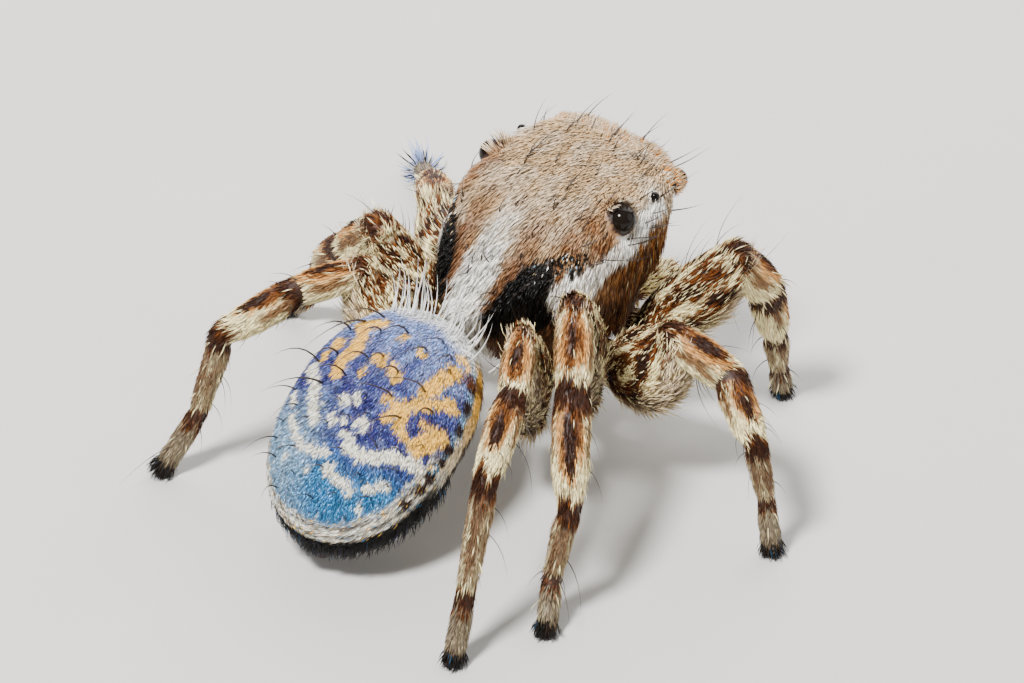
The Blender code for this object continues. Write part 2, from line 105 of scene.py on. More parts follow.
# Where each eye looks: forward, outward and up.
EYE_AXES = {
    "anterior_median": (1.0, 0.06, 0.02),
    "anterior_lateral": (0.92, 0.36, 0.10),
    "posterior_median": (0.05, 0.90, 0.42),
    "posterior_lateral": (-0.25, 0.83, 0.50),
}
# Each eye's socket is a ball this many times as wide, set back by this share of the eye's radius.
SOCKET_WIDTHS = {"anterior_median": 1.15, "anterior_lateral": 1.15, "posterior_median": 1.15,
                 "posterior_lateral": 1.22}
SOCKET_DEPTH = 0.32
# The skin of a socket and the roots of its hairs lie inside that ball by these shares of the radius.
SOCKET_SKIN = 0.04
SOCKET_ROOTS = 0.02
ANCHOR_EYE = "posterior_lateral"

# Each leg: hip, trochanter, knee, end of patella, end of tibia, end of metatarsus and tip,
# as forward, outward and height.
LEG_POSES = {
    "right_1": ((0.25, 0.36, 0.80), (0.32, 0.62, 0.78), (0.66, 1.13, 1.50), (0.88, 1.23, 1.16),
                (1.03, 1.21, 0.67), (1.13, 1.17, 0.31), (1.18, 1.16, 0.05)),
    "right_2": ((-0.08, 0.38, 0.78), (-0.10, 0.68, 0.74), (-0.21, 1.32, 1.36), (-0.12, 1.75, 1.17),
                (-0.33, 2.18, 0.93), (-0.28, 2.25, 0.46), (-0.29, 2.32, 0.05)),
    "right_3": ((-0.42, 0.38, 0.76), (-0.50, 0.72, 0.74), (-0.90, 1.00, 1.80), (-1.26, 1.30, 1.50),
                (-1.72, 1.68, 0.88), (-1.87, 1.66, 0.36), (-2.04, 1.76, 0.05)),
    "right_4": ((-0.74, 0.34, 0.78), (-0.92, 0.58, 0.74), (-1.25, 0.82, 1.66), (-1.66, 1.10, 1.54),
                (-2.29, 1.42, 1.31), (-2.56, 1.47, 0.51), (-2.72, 1.51, 0.05)),
    "left_1": ((0.25, 0.36, 0.80), (0.32, 0.62, 0.78), (0.98, 1.06, 1.20), (1.35, 1.15, 0.98),
               (1.68, 1.20, 0.62), (1.82, 1.20, 0.30), (1.90, 1.20, 0.05)),
    "left_2": ((-0.08, 0.38, 0.78), (-0.05, 0.68, 0.74), (0.33, 1.47, 0.94), (0.66, 1.74, 0.72),
               (0.99, 2.12, 0.44), (1.26, 2.39, 0.22), (1.45, 2.60, 0.05)),
    "left_3": ((-0.42, 0.38, 0.76), (-0.50, 0.72, 0.74), (-0.88, 0.88, 1.60), (-0.82, 1.23, 1.24),
               (-0.59, 1.72, 0.73), (-0.43, 1.95, 0.30), (-0.46, 2.16, 0.05)),
    "left_4": ((-0.74, 0.34, 0.78), (-0.92, 0.58, 0.74), (-1.16, 0.78, 1.43), (-1.53, 1.06, 1.32),
               (-2.16, 1.20, 1.21), (-2.25, 1.38, 0.50), (-2.48, 1.50, 0.05)),
}
# Radii of femur, patella, tibia, metatarsus and tarsus with their coat.
LEG_LENGTHS = ("femur", "patella", "tibia", "metatarsus", "tarsus")
LEG_RADII = {
    1: (0.205, 0.160, 0.145, 0.110, 0.095),
    2: (0.235, 0.155, 0.145, 0.105, 0.090),
    3: (0.190, 0.155, 0.155, 0.105, 0.095),
    4: (0.180, 0.135, 0.140, 0.110, 0.095),
}
COXA_RADIUS = 0.140
FOOT_RADIUS = 0.085
SOLE_HEIGHT = 0.02
FEMUR_BOWS = {1: 0.00, 2: -0.12, 3: 0.04, 4: -0.02}
FEMUR_OUTWARD_BOW = 0.04
FEMUR_DEPTH = 1.35
TIBIA_DEPTH = 1.06
# Stations of a leg's path: the number of the joint before, the share of the way to the next one, the
# share of the femur's bow, and the radius there with its factor. Joints 7 and 8 are the foot's pad
# and sole.
LEG_STATIONS = (
    (0, 0.00, 0.0, "coxa", 1.00), (0, 0.60, 0.0, "coxa", 1.00), (1, 0.00, 0.0, "coxa", 1.00),
    (1, 0.20, 0.6, "femur", 0.85), (1, 0.45, 1.0, "femur", 1.00), (1, 0.72, 0.8, "femur", 0.92),
    (1, 0.92, 0.2, "patella", 1.00), (2, 0.00, 0.0, "patella", 0.85), (2, 0.35, 0.0, "patella", 1.00),
    (2, 0.75, 0.0, "patella", 1.00), (3, 0.00, 0.0, "patella", 0.90), (3, 0.30, 0.0, "tibia", 1.00),
    (3, 0.68, 0.0, "tibia", 0.95), (4, 0.00, 0.0, "metatarsus", 1.00), (4, 0.30, 0.0, "metatarsus", 1.00),
    (4, 0.75, 0.0, "metatarsus", 0.88), (5, 0.00, 0.0, "tarsus", 0.92), (5, 0.45, 0.0, "tarsus", 1.00),
    (7, 0.00, 0.0, "foot", 1.10), (8, 0.00, 0.0, "foot", 0.80),
)
# Places of the joints on a leg's path, counted in stations from the hip.
KNEE = 7
SHIN = 10
ANKLE = 13
TOE = 16
SOLE = 19
LEG_PIECES = ("femur", "tibia", "tarsus")
# Places over which a leg or a tube closes at its ends, and the step that finds a path's direction.
HIP_CLOSING = 0.3
FOOT_CLOSING = 0.5
TUBE_START = 0.2
TUBE_END = 0.4
SLOPE_STEP = 0.02

# Chelicera and palp: forward, outward and height along the middle, and the radius at each point.
MOUTH_PIECES = {
    "chelicera": (((0.50, 0.155, 1.20), (0.60, 0.16, 0.90), (0.62, 0.15, 0.60)), (0.12, 0.125, 0.08)),
    "palp": (((0.36, 0.34, 0.90), (0.62, 0.42, 0.98), (0.76, 0.40, 0.96), (0.80, 0.37, 0.80),
              (0.78, 0.35, 0.60)), (0.08, 0.09, 0.10, 0.11, 0.07)),
}
# Pedicel as forward, right and height, and spinnerets as places on the abdomen, with their radii.
PEDICEL = ((-0.72, 0, 1.10), (-1.00, 0, 1.06), (-1.32, 0, 1.02))
PEDICEL_RADII = (0.10, 0.10, 0.10)
SPINNERETS = ((0.66, 0, -0.16), (0.82, 0, -0.22), (0.97, 0, -0.25))
SPINNERET_RADII = (0.11, 0.10, 0.06)

# How near to its two ends the grid of the head and the abdomen goes, in half turns.
POLE = 0.497
# Rings of a surface's grid, and points in each ring.
HEAD_GRID = (120, 140)
LEG_GRID = (200, 24)
MOUTH_GRID = (40, 20)
TUBE_GRID = (24, 18)
EYE_GRID = (28, 48)
SKIN_VOXEL = 0.024

# Noise is the mean of this many waves, with pitches between these, made stronger by this gain.
WAVES = 7
WAVE_PITCHES = (0.6, 1.6)
WAVE_GAIN = 1.6

# Paths of marks on the abdomen, as backward and across in millimetres, with their full width.
CREAM_MARKS = (
    (((-0.18, -0.54), (-0.07, -0.43), (0.10, -0.32), (0.20, -0.24)), 0.095),
    (((0.28, 0.10), (0.31, 0.23), (0.26, 0.34), (0.21, 0.42), (0.19, 0.52), (0.17, 0.62)), 0.095),
    (((0.24, -0.45), (0.35, -0.34), (0.41, -0.24), (0.41, -0.15)), 0.065),
    (((0.41, -0.10), (0.39, -0.03)), 0.075),
    (((0.49, 0.04), (0.53, 0.15), (0.56, 0.26)), 0.085),
    (((0.05, -0.57), (0.15, -0.50)), 0.045),
    (((-0.03, -0.12), (-0.01, -0.09)), 0.085),
    (((-0.08, -0.03), (-0.06, -0.01)), 0.065),
    (((0.13, -0.13), (0.15, -0.09)), 0.070),
    (((0.12, -0.03), (0.12, -0.01)), 0.055),
    (((0.08, 0.10), (0.10, 0.14)), 0.100),
    (((0.20, 0.02), (0.22, 0.09)), 0.060),
    (((0.50, 0.37), (0.48, 0.42)), 0.060),
    (((0.42, 0.46), (0.41, 0.49)), 0.075),
    (((0.63, 0.37), (0.64, 0.40)), 0.050),
    (((0.55, -0.13), (0.55, -0.11)), 0.035),
    (((0.52, -0.36), (0.52, -0.34)), 0.035),
)
ORANGE_MARKS = (
    (((-0.62, -0.40), (-0.66, -0.32), (-0.69, -0.22)), 0.075),
    (((-0.60, -0.33), (-0.48, -0.29), (-0.41, -0.27), (-0.33, -0.32), (-0.24, -0.31), (-0.19, -0.29)),
     0.110),
    (((-0.43, -0.47), (-0.40, -0.44)), 0.095),
    (((-0.30, -0.49), (-0.27, -0.49)), 0.070),
    (((-0.27, -0.12), (-0.25, -0.10)), 0.055),
    (((-0.66, -0.01), (-0.64, 0.00)), 0.060),
    (((-0.60, 0.18), (-0.58, 0.22)), 0.060),
    (((-0.43, -0.07), (-0.39, -0.02)), 0.085),
    (((-0.38, 0.09), (-0.33, 0.16)), 0.090),
    (((-0.17, 0.17), (-0.15, 0.23)), 0.070),
    (((-0.57, 0.46), (-0.50, 0.44), (-0.44, 0.43), (-0.34, 0.40)), 0.125),
    (((-0.34, 0.58), (-0.30, 0.52), (-0.24, 0.42), (-0.18, 0.34), (-0.04, 0.26)), 0.100),
    (((-0.20, 0.37), (-0.08, 0.36), (0.00, 0.36), (0.04, 0.43)), 0.075),
    (((-0.13, 0.50), (-0.11, 0.52)), 0.055),
    (((-0.10, 0.62), (0.00, 0.58), (0.06, 0.54)), 0.120),
    (((-0.71, 0.42), (-0.68, 0.50)), 0.060),
)
MARK_SOFTNESS = 0.010
# How far back along the rim the black spots lie, and how high above it.
BLACK_SPOTS = (-0.56, -0.41, -0.24, -0.08, 0.05, 0.17, 0.28, 0.43)
SPOT_HEIGHT = 0.105

# Middle lines of the head's marks: forward, outward and height of the black patch and of the glossy
# grains behind it, and forward and height of the pale stripes under the side eyes.
BLACK_PATCH = ((-0.94, 0.30, 1.38), (-0.80, 0.37, 1.56), (-0.68, 0.43, 1.67), (-0.70, 0.52, 1.46))
GRAINS = ((-0.68, 0.42, 1.74), (-0.54, 0.52, 1.80), (-0.40, 0.60, 1.79))
EYE_STRIPE = ((-0.30, 1.62), (-0.18, 1.69), (0.04, 1.755), (0.23, 1.82), (0.42, 1.90))
LOW_STRIPE = ((-0.48, 1.58), (-0.34, 1.60))

# Marks on top of each leg: first and last place, half width in radians, strength and colour.
LEG_BLOTCHES = (
    (KNEE - 0.10, KNEE + 2.45, 1.00, 0.85, "rust"),
    (KNEE + 0.15, KNEE + 2.10, 0.60, 0.95, "leg_brown"),
    (KNEE + 0.50, KNEE + 1.8, 0.34, 0.95, "leg_dark"),
    (SHIN + 0.05, SHIN + 2.25, 0.85, 0.80, "rust"),
    (SHIN + 0.10, SHIN + 2.1, 0.62, 0.95, "leg_brown"),
    (SHIN + 0.9, SHIN + 2.2, 0.36, 0.95, "leg_dark"),
    (ANKLE + 0.1, ANKLE + 2.3, 0.70, 0.8, "leg_brown"),
)
# Brown stripes along a leg's flanks: first and last place and strength.
FLANK_STRIPES = ((KNEE + 0.1, KNEE + 2.3, 0.9), (SHIN, SHIN + 1.9, 0.9), (ANKLE, ANKLE + 2.0, 0.7))
# Dark rings at a leg's joints: place and half width.
JOINT_RINGS = ((KNEE - 0.05, 0.08), (SHIN + 0.22, 0.30), (ANKLE + 0.05, 0.20), (TOE, 0.24))
BRUSHED_LEG = "left_2"

# Along a tuft, at each of its rings: share of its length, of its width and of its rise, its painted
# shade, which darkens the root where the coat shades it, and its place up its patch of the bake map.
LONG_TUFT = ((0.0, 0.7, 0.0, 0.45, 0.0), (0.38, 1.0, 0.55, 0.9, 0.4), (0.74, 0.6, 0.92, 1.08, 0.75))
SHORT_TUFT = ((0.0, 0.75, 0.0, 0.55, 0.0), (0.5, 1.0, 0.66, 1.0, 0.5))
# Painted light at a tuft's tip, which makes the tip lighter than the tuft's own colour.
TIP_PAINTED_LIGHT = 1.15
TUFT_THICKNESS = 0.35
TUFT_SUNK = 0.012
PATCH = 0.003
# No point of a tuft or a bristle lies lower than this.
LOWEST = 0.004
SAMPLE_CELLS = 260

# The head's hair: its lie above, at the sides, on the face and at the rear, and how it sways.
HEAD_LIES = {"above": (0, 1.0, -0.1), "side": (0, 0.62, -0.75), "face": (0, 0, -1.0), "rear": (0, 0.1, -0.9)}
HEAD_SWAY = 0.20
BROW_TUFTS = 900
SOCKET_TUFTS = 420
# Parts of the abdomen's coat: first and last angle in half turns, and share of the number of tufts.
ABDOMEN_PARTS = {"right": (-0.07, 0.5, 0.5), "left": (0.5, 1.07, 0.5), "under": (1.05, 1.95, 0.22)}
FRINGE_TUFTS = 2400
# The skin of legs and mouthparts lies inside their outlines by these shares of the skin's depth.
LEG_DEPTH = 0.8
MOUTH_DEPTH = 0.5
# Tufts of each foot and of each mouthpart: number and width, and how deep those of the mouth start.
FOOT_TUFTS = 150
FOOT_HAIR_WIDTH = 0.011
MOUTH_TUFTS = 900
MOUTH_HAIR_WIDTH = 0.014
MOUTH_HAIR_DEPTH = 0.02

# Bristles: rings and sides of one, and how high those of the head reach.
BRISTLE_RINGS = 7
BRISTLE_SIDES = 4
HEAD_CEILING = 2.15
# How deep the roots of bristles lie inside the outline of head and legs, and under the abdomen's dome.
ROOT_DEPTH = 0.03
ROOT_SUNK = 0.035
# Bristles of the head: number, shortest and longest, radius and how far they stand up.
HEAD_BRISTLES = ((95, (0.17, 0.32), 0.0068, 1.0), (120, (0.10, 0.17), 0.0044, 0.35))
LEG_BRISTLES = 30
LEG_BRISTLE_RADIUS = 0.0042
BRUSH_BRISTLES = 36
BRUSH_BRISTLE_RADIUS = 0.0082
# Claws: length and radius, and how high their roots lie.
CLAW_LENGTH = 0.050
CLAW_RADIUS = 0.011
CLAW_HEIGHT = 0.045
# Roots of the abdomen's bristles, backward and across.
BRISTLE_ROOTS = ((-0.65, 0.00), (-0.59, 0.20), (-0.41, -0.04), (-0.35, 0.13), (-0.16, 0.20), (-0.52, 0.44),
                 (-0.30, 0.38), (-0.20, 0.50), (-0.70, 0.26), (-0.05, 0.34), (-0.62, -0.38))
REAR_BRISTLE_ROOTS = ((0.02, 0.13), (0.10, 0.00), (0.05, 0.56), (0.22, 0.30), (0.34, 0.10), (0.30, 0.50),
                      (0.44, 0.28), (0.50, 0.00), (0.55, 0.42), (0.62, 0.18), (0.72, 0.02), (0.74, 0.30),
                      (-0.10, 0.02), (0.16, 0.44), (0.20, -0.14), (0.42, 0.48))
# Bristles of the abdomen: roots, shortest and longest, and radius.
ABDOMEN_BRISTLES = ((BRISTLE_ROOTS, (0.40, 0.56), 0.0092), (REAR_BRISTLE_ROOTS, (0.20, 0.34), 0.0065))

# The main, the filling and the back lamp: how far each lies from the aim towards the camera, to the
# camera's right and up, and its width, all in millimetres, and its power.
LAMPS = (((20, -14, 26), 9, 0.046), ((6, 36, 10), 34, 0.005), ((-22, 4, 24), 34, 0.012))
SKY_TINT = (0.86, 0.88, 0.92, 1)
SKY_STRENGTH = 0.36
FLOOR_HALF_WIDTH = 0.3
# What the camera aims at: forward, right and height.
AIM = (-0.448, 0.0, 0.802)


def srgb(red, green, blue):
    """A colour given from 0 to 255 as a screen shows it, in the linear values that shaders use."""
    share = np.array((red, green, blue)) / 255
    return tuple(np.where(share <= 0.04045, share / 12.92, ((share + 0.055) / 1.055) ** 2.4))


def colour(name, description, red, green, blue):
    """A colour setting, given from 0 to 255 as a screen shows it."""
    return bpy.props.FloatVectorProperty(name=name, description=description, size=3,
                                         subtype="COLOR", min=0.0, max=1.0,
                                         default=srgb(red, green, blue))


def length(name, description, millimetres):
    """A length setting, given in millimetres."""
    return bpy.props.FloatProperty(name=name, description=description, unit="LENGTH",
                                   precision=6, default=millimetres * MM, min=0.0)


class SpiderCoat(bpy.types.PropertyGroup):
    """Depth of the skin, and length, width and number of the tufts"""
    skin_depth: length("Skin depth", "How far the skin lies inside the coat's outline", 0.030)
    head_hair: length("Head hair", "Length of a tuft on the head", 0.088)
    abdomen_hair: length("Abdomen scales", "Length of a scale tuft on the abdomen", 0.056)
    leg_hair: length("Leg hair", "Length of a tuft on a leg", 0.100)
    hair_width: length("Hair width", "Width of a tuft at its widest", 0.0105)
    head_tufts: bpy.props.IntProperty(name="Head tufts", description="Tufts on each half of the head",
                                      default=16800, min=10)
    abdomen_tufts: bpy.props.IntProperty(name="Abdomen tufts", description="Tufts on the abdomen's top",
                                         default=23000, min=10)
    leg_tufts: bpy.props.IntProperty(name="Leg tufts", description="Tufts on each leg",
                                     default=8200, min=10)


class SpiderColours(bpy.types.PropertyGroup):
    """The colours that all the markings are mixed from"""
    # Tan, pale blue and white also paint glints on a few tufts among the head's glossy grains.
    tan: colour("Tan", "Hairs on top of the head", 206, 174, 132)
    grey: colour("Grey beige", "Paler hairs on top of the head", 216, 196, 168)
    orange_brown: colour("Orange brown", "Hairs at the cheeks and beside the pale bands", 146, 92, 48)
    white: colour("White", "Pale bands and long white hairs", 255, 252, 244)
    black: colour("Black", "Black patches at the rear of the head", 10, 7, 5)
    cream: colour("Cream", "Pale marks on the abdomen", 255, 250, 232)
    # Orange also paints glints on single scales of the rear rim.
    orange: colour("Orange", "Orange marks on the abdomen", 255, 202, 88)
    # Blue violet also paints glints in the abdomen's fringe.
    violet: colour("Blue violet", "Scales in the middle of the abdomen", 62, 64, 132)
    # Lilac also paints glints on single abdomen scales and on the brushed foot's hairs.
    lilac: colour("Lilac blue", "Scales at the front of the abdomen", 140, 158, 206)
    # Turquoise also paints glints on rim scales, in the fringe and on the feet's hairs.
    turquoise: colour("Turquoise", "Scales at the rear of the abdomen", 58, 134, 186)
    # Pale blue also paints a sheen over the abdomen's left rear.
    pale_blue: colour("Pale blue", "Scales at the sides of the abdomen", 158, 192, 216)
    leg_cream: colour("Leg cream", "Pale hairs on the legs", 255, 240, 184)
    leg_brown: colour("Leg brown", "Brown stripes on the legs", 108, 58, 16)
    # Leg dark also paints the shade just under the abdomen's rim.
    leg_dark: colour("Leg dark", "Dark rings at the leg's joints", 44, 20, 8)
    rust: colour("Rust", "Hairs round the front side eyes and at the brow", 208, 132, 44)
    foot_grey: colour("Foot grey", "Pale grey hairs near the feet", 116, 102, 84)


class SpiderStage(bpy.types.PropertyGroup):
    """Place and framing of the camera"""
    camera_distance: length("Camera distance", "From the aim to the camera", 60.0)
    framed_width: length("Framed width", "Width of the picture at the aim", 7.314)
    camera_azimuth: bpy.props.FloatProperty(name="Azimuth", description="Turn of the camera from the face",
                                            subtype="ANGLE", default=math.radians(-138))
    camera_elevation: bpy.props.FloatProperty(name="Elevation", description="Height angle of the camera",
                                              subtype="ANGLE", default=math.radians(36))


def coat_settings():
    """The coat's settings in the scene."""
    return bpy.context.scene.spider_coat


def palette(name):
    """One of the scene's colours as an array."""
    return np.array(getattr(bpy.context.scene.spider_colours, name))


# Shapes, in millimetres


def at(forward, right, height):
    """Points of the animal as x, y and z in millimetres."""
    return np.stack(np.broadcast_arrays(-np.asarray(right, float), -np.asarray(forward, float), height), -1)


def frame_shift():
    """Where the drawing's origin lies in the frame, from the middle of one eye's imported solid."""
    low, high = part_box(f"eye_{ANCHOR_EYE}_right")
    forward, outward, _, _ = EYES[ANCHOR_EYE]
    middle = (low + high) / 2
    return np.array((middle.x + outward * MM, middle.y + forward * MM, 0.0))


SHIFT = frame_shift()


def unit(vectors):
    """Vectors divided by their lengths."""
    return vectors / np.maximum(np.linalg.norm(vectors, axis=-1, keepdims=True), 1e-9)


def smooth_through(value, stations, heights):
    """A smooth curve through the stations: between two of them the cubic that has their heights and
    their slopes, which are the mean ones of the pieces beside them."""
    slopes = np.gradient(heights, stations)
    value = np.clip(value, stations[0], stations[-1])
    k = np.clip(np.searchsorted(stations, value, side="right") - 1, 0, len(stations) - 2)
    step = stations[k + 1] - stations[k]
    u = (value - stations[k]) / step
    start = (1 + 2 * u) * (1 - u) ** 2 * heights[k] + u * (1 - u) ** 2 * step * slopes[k]
    return start + u * u * (3 - 2 * u) * heights[k + 1] - u * u * (1 - u) * step * slopes[k + 1]


def polar(turn, roundness):
    """Height and side of a superellipse's point: the direction's sine and cosine over the root of the
    sum of their powers."""
    up, side = np.sin(turn), np.cos(turn)
    reach = (np.abs(up) ** roundness + np.abs(side) ** roundness) ** (-1 / roundness)
    return up * reach, side * reach


def closing(along, roundness):
    """How far a section shrinks towards an end, where along is -1 or 1: the root of one less the power
    of along."""
    return np.maximum(1 - np.abs(along) ** roundness, 0.0) ** (1 / roundness)


def step_between(low, high, value):
    """0 below the low value, 1 above the high one, and a smooth step between them."""
    share = np.clip((value - low) / (high - low), 0, 1)
    return share * share * (3 - 2 * share)


def ripple(points, scale, seed):
    """Smooth noise about from -1 to 1: the mean of plane waves in fixed random directions."""
    draw = np.random.default_rng(seed)
    ways = unit(draw.normal(size=(WAVES, points.shape[-1])))
    ways = ways * draw.uniform(*WAVE_PITCHES, (WAVES, 1)) / scale
    return np.sin(points @ ways.T * math.tau + draw.uniform(0, math.tau, WAVES)).mean(-1) * WAVE_GAIN


def grid(first, last, rows, columns):
    """Rows of equal numbers from the first to the last, and columns of angles round a full turn."""
    rounds = np.arange(columns) * math.tau / columns
    return np.meshgrid(np.linspace(first, last, rows), rounds, indexing="ij")


def head_surface(turn, angle, margin=0.0):
    """Head and thorax: the first angle sets a place along the body, and the second goes round a
    superellipse section there, whose half width, top and underside follow smooth curves and close
    towards both ends. The face slants back below its top with the square of the place along, more
    so at its sides, and the cheeks narrow by a share that grows downwards."""
    along = polar(turn, HEAD_ALONG_ROUNDNESS)[0]
    forward = (HEAD_FRONT + HEAD_REAR) / 2 + (HEAD_FRONT - HEAD_REAR) / 2 * along
    rear = closing(along, HEAD_REAR_ROUNDNESS)
    wide = np.where(along > 0, closing(along, HEAD_FRONT_ROUNDNESS), rear)
    high = np.where(along > 0, closing(along, HEAD_BROW_ROUNDNESS), rear)
    top = smooth_through(forward, HEAD_STATIONS, HEAD_TOPS) - HEAD_MIDDLE_HEIGHT
    under = HEAD_MIDDLE_HEIGHT - smooth_through(forward, HEAD_STATIONS, HEAD_UNDERSIDES)
    width = smooth_through(forward, HEAD_STATIONS, HEAD_HALF_WIDTHS) * wide + margin
    upper = np.sin(angle) > 0
    reach = np.where(upper, top, under) * high + margin
    lift, side = polar(angle, np.where(upper, HEAD_TOP_ROUNDNESS, HEAD_UNDER_ROUNDNESS))
    height = HEAD_MIDDLE_HEIGHT + reach * lift
    slant = (FACE_SLANT + CHEEK_SLANT * side ** 2) * np.maximum(along, 0.0) ** 2 * (FACE_TOP - height)
    pinch = 1 - CHEEK_PINCH * step_between(*CHEEK_HEIGHTS, height) * step_between(*CHEEK_START, along)
    return at(forward + margin * along - slant, width * side * pinch, height)


def on_abdomen(backward, right, above):
    """Points given along the drooping abdomen, across it and above its rim: turned by the droop in the
    upright plane, then by the swing in the level one."""
    forward, height = ABDOMEN_CENTRE
    ahead = -backward * math.cos(ABDOMEN_DROOP) - above * math.sin(ABDOMEN_DROOP)
    height = height + above * math.cos(ABDOMEN_DROOP) - backward * math.sin(ABDOMEN_DROOP)
    forward = forward + ahead * math.cos(ABDOMEN_SWING) + right * math.sin(ABDOMEN_SWING)
    return at(forward, right * math.cos(ABDOMEN_SWING) - ahead * math.sin(ABDOMEN_SWING), height)


def abdomen_place(turn, angle, margin=0.0):
    """Backward, across and above for a point of the abdomen's egg: the first angle goes along a
    superellipse in plan, the second round a section whose width and height shrink with it."""
    along, narrow = polar(turn, ABDOMEN_PLAN_ROUNDNESS)
    upper = np.sin(angle) > 0
    rise = np.where(upper, ABDOMEN_DOME, ABDOMEN_BELLY)
    lift, side = polar(angle, np.where(upper, ABDOMEN_DOME_ROUNDNESS, 2.0))
    side = (ABDOMEN_HALF_WIDTH * narrow + margin) * side
    return (ABDOMEN_HALF_LENGTH + margin) * along, side, (rise * narrow + margin) * lift


def abdomen_surface(turn, angle, margin=0.0):
    """The abdomen's egg, drooped and swung into place."""
    return on_abdomen(*abdomen_place(turn, angle, margin))


def abdomen_ways():
    """Directions of the drooping abdomen: to its rear, to its right and above it."""
    middle = on_abdomen(0.0, 0.0, 0.0)
    return (on_abdomen(1.0, 0.0, 0.0) - middle, on_abdomen(0.0, 1.0, 0.0) - middle,
            on_abdomen(0.0, 0.0, 1.0) - middle)


def spline(values, place):
    """A curve through the rows of values at whole numbers of place: between two rows the cubic whose
    slope at each is half the step from the row before it to the row after it."""
    last = len(values) - 1
    k = np.clip(np.floor(place).astype(int), 0, last - 1)
    u = (place - k)[..., None]
    a, b, c, d = (values[np.clip(k + step, 0, last)] for step in (-1, 0, 1, 2))
    return b + 0.5 * u * (c - a + u * (2 * a - 5 * b + 4 * c - d + u * (3 * (b - c) + d - a)))


def along_path(path, place):
    """A path's points and the directions in which it goes on there, from points just before and after."""
    return spline(path, place), unit(spline(path, place + SLOPE_STEP) - spline(path, place - SLOPE_STEP))


def leg_stations(name):
    """A leg's path with its radii across and upwards at each station, and its level side axis: each
    station lies a share of the way between two joints, plus a share of the bow, and the upward
    radius of thigh and shin is deeper by a half sine."""
    side = 1 if name.startswith("right") else -1
    joints = [at(forward, side * outward, height) for forward, outward, height in LEG_POSES[name]]
    trochanter, knee, tip = joints[1], joints[2], joints[-1]
    joints += [np.array((tip[0], tip[1], height)) for height in (FOOT_RADIUS, SOLE_HEIGHT)]
    number = int(name[-1])
    radii = dict(zip(LEG_LENGTHS, LEG_RADII[number]), coxa=COXA_RADIUS, foot=FOOT_RADIUS)
    bow = np.array((math.copysign(FEMUR_OUTWARD_BOW, knee[0]), 0, FEMUR_BOWS[number]))
    following = joints[1:] + joints[-1:]
    path = [joints[before] + (following[before] - joints[before]) * share + bow * bowed
            for before, share, bowed, _, _ in LEG_STATIONS]
    across = np.array([radii[which] * factor for *_, which, factor in LEG_STATIONS])
    deep = np.ones(len(path))
    for first, last, depth in ((0, KNEE, FEMUR_DEPTH), (KNEE, ANKLE, TIBIA_DEPTH)):
        steps = last - first
        deep[first:last + 1] += (depth - 1) * np.sin(math.pi * np.arange(steps + 1) / steps)
    return np.array(path), np.stack([across, across * deep], -1), unit(np.cross(tip - trochanter, (0, 0, 1)))


def leg_surface(name):
    """A leg's surface as a function of the place along its path and the angle round it: oval rings
    carried square to the path, which shrink with a square root to close both ends."""
    path, radii, across = leg_stations(name)

    def surface(place, angle, margin=0.0):
        middle, heading = along_path(path, place)
        above = unit(np.cross(across, heading))
        beside = np.cross(heading, above)
        foot = np.sqrt(np.clip((SOLE - place) / FOOT_CLOSING, 0, 1))
        shut = foot * np.sqrt(np.clip(place / HIP_CLOSING, 0, 1))
        girth = (spline(radii, place) + margin) * shut[..., None]
        return (middle + beside * girth[..., :1] * np.cos(angle)[..., None]
                + above * girth[..., 1:] * np.sin(angle)[..., None])

    return surface


def tube_surface(points, radii):
    """A round tube through a few points: rings carried square to a smooth path, which shrink with a
    square root at its start and as a half circle at its end."""
    path = np.array(points)
    widths = np.array(radii)[:, None]
    last = len(points) - 1

    def surface(place, angle, margin=0.0):
        middle, heading = along_path(path, place)
        beside = unit(np.cross(heading, (1.0, 0.02, 0.03)))
        above = np.cross(heading, beside)
        past = np.maximum(place - last + TUBE_END, 0) / TUBE_END
        shut = np.sqrt(np.clip(1 - past ** 2, 0, 1)) * np.sqrt(np.clip(place / TUBE_START, 0, 1))
        girth = (spline(widths, place) + margin) * shut[..., None]
        return (middle + beside * girth * np.cos(angle)[..., None]
                + above * girth * np.sin(angle)[..., None])

    return surface


def mouth_surfaces():
    """The chelicerae and palps by name: each a tube, with the last place of its path."""
    return {f"{piece}_{side}": (tube_surface([at(f, sign * r, z) for f, r, z in path], radii), len(path) - 1)
            for side, sign in SIDES for piece, (path, radii) in MOUTH_PIECES.items()}


def eye_surface(centre, radius):
    """A ball as rings of points from pole to pole, by the sines and cosines of two angles."""
    tilt, turn = grid(0.02, math.pi - 0.02, *EYE_GRID)
    way = np.stack([np.sin(tilt) * np.cos(turn), np.sin(tilt) * np.sin(turn), np.cos(tilt)], -1)
    return centre + way * radius


def each_eye():
    """Kind, side sign, middle, axis and radius of every eye."""
    for kind, (forward, outward, height, radius) in EYES.items():
        ahead, aside, up = EYE_AXES[kind]
        for sign in (1, -1):
            yield (kind, sign, at(forward, sign * outward, height),
                   unit(at(ahead, sign * aside, up)), radius)


# Meshes


def squares(rows, columns):
    """Corner numbers of the faces of a grid whose columns close on themselves."""
    row, column = np.meshgrid(np.arange(rows - 1), np.arange(columns), indexing="ij")
    following = (column + 1) % columns
    corners = [row * columns + column, row * columns + following,
               (row + 1) * columns + following, (row + 1) * columns + column]
    return np.stack(corners, -1).reshape(-1, 4)


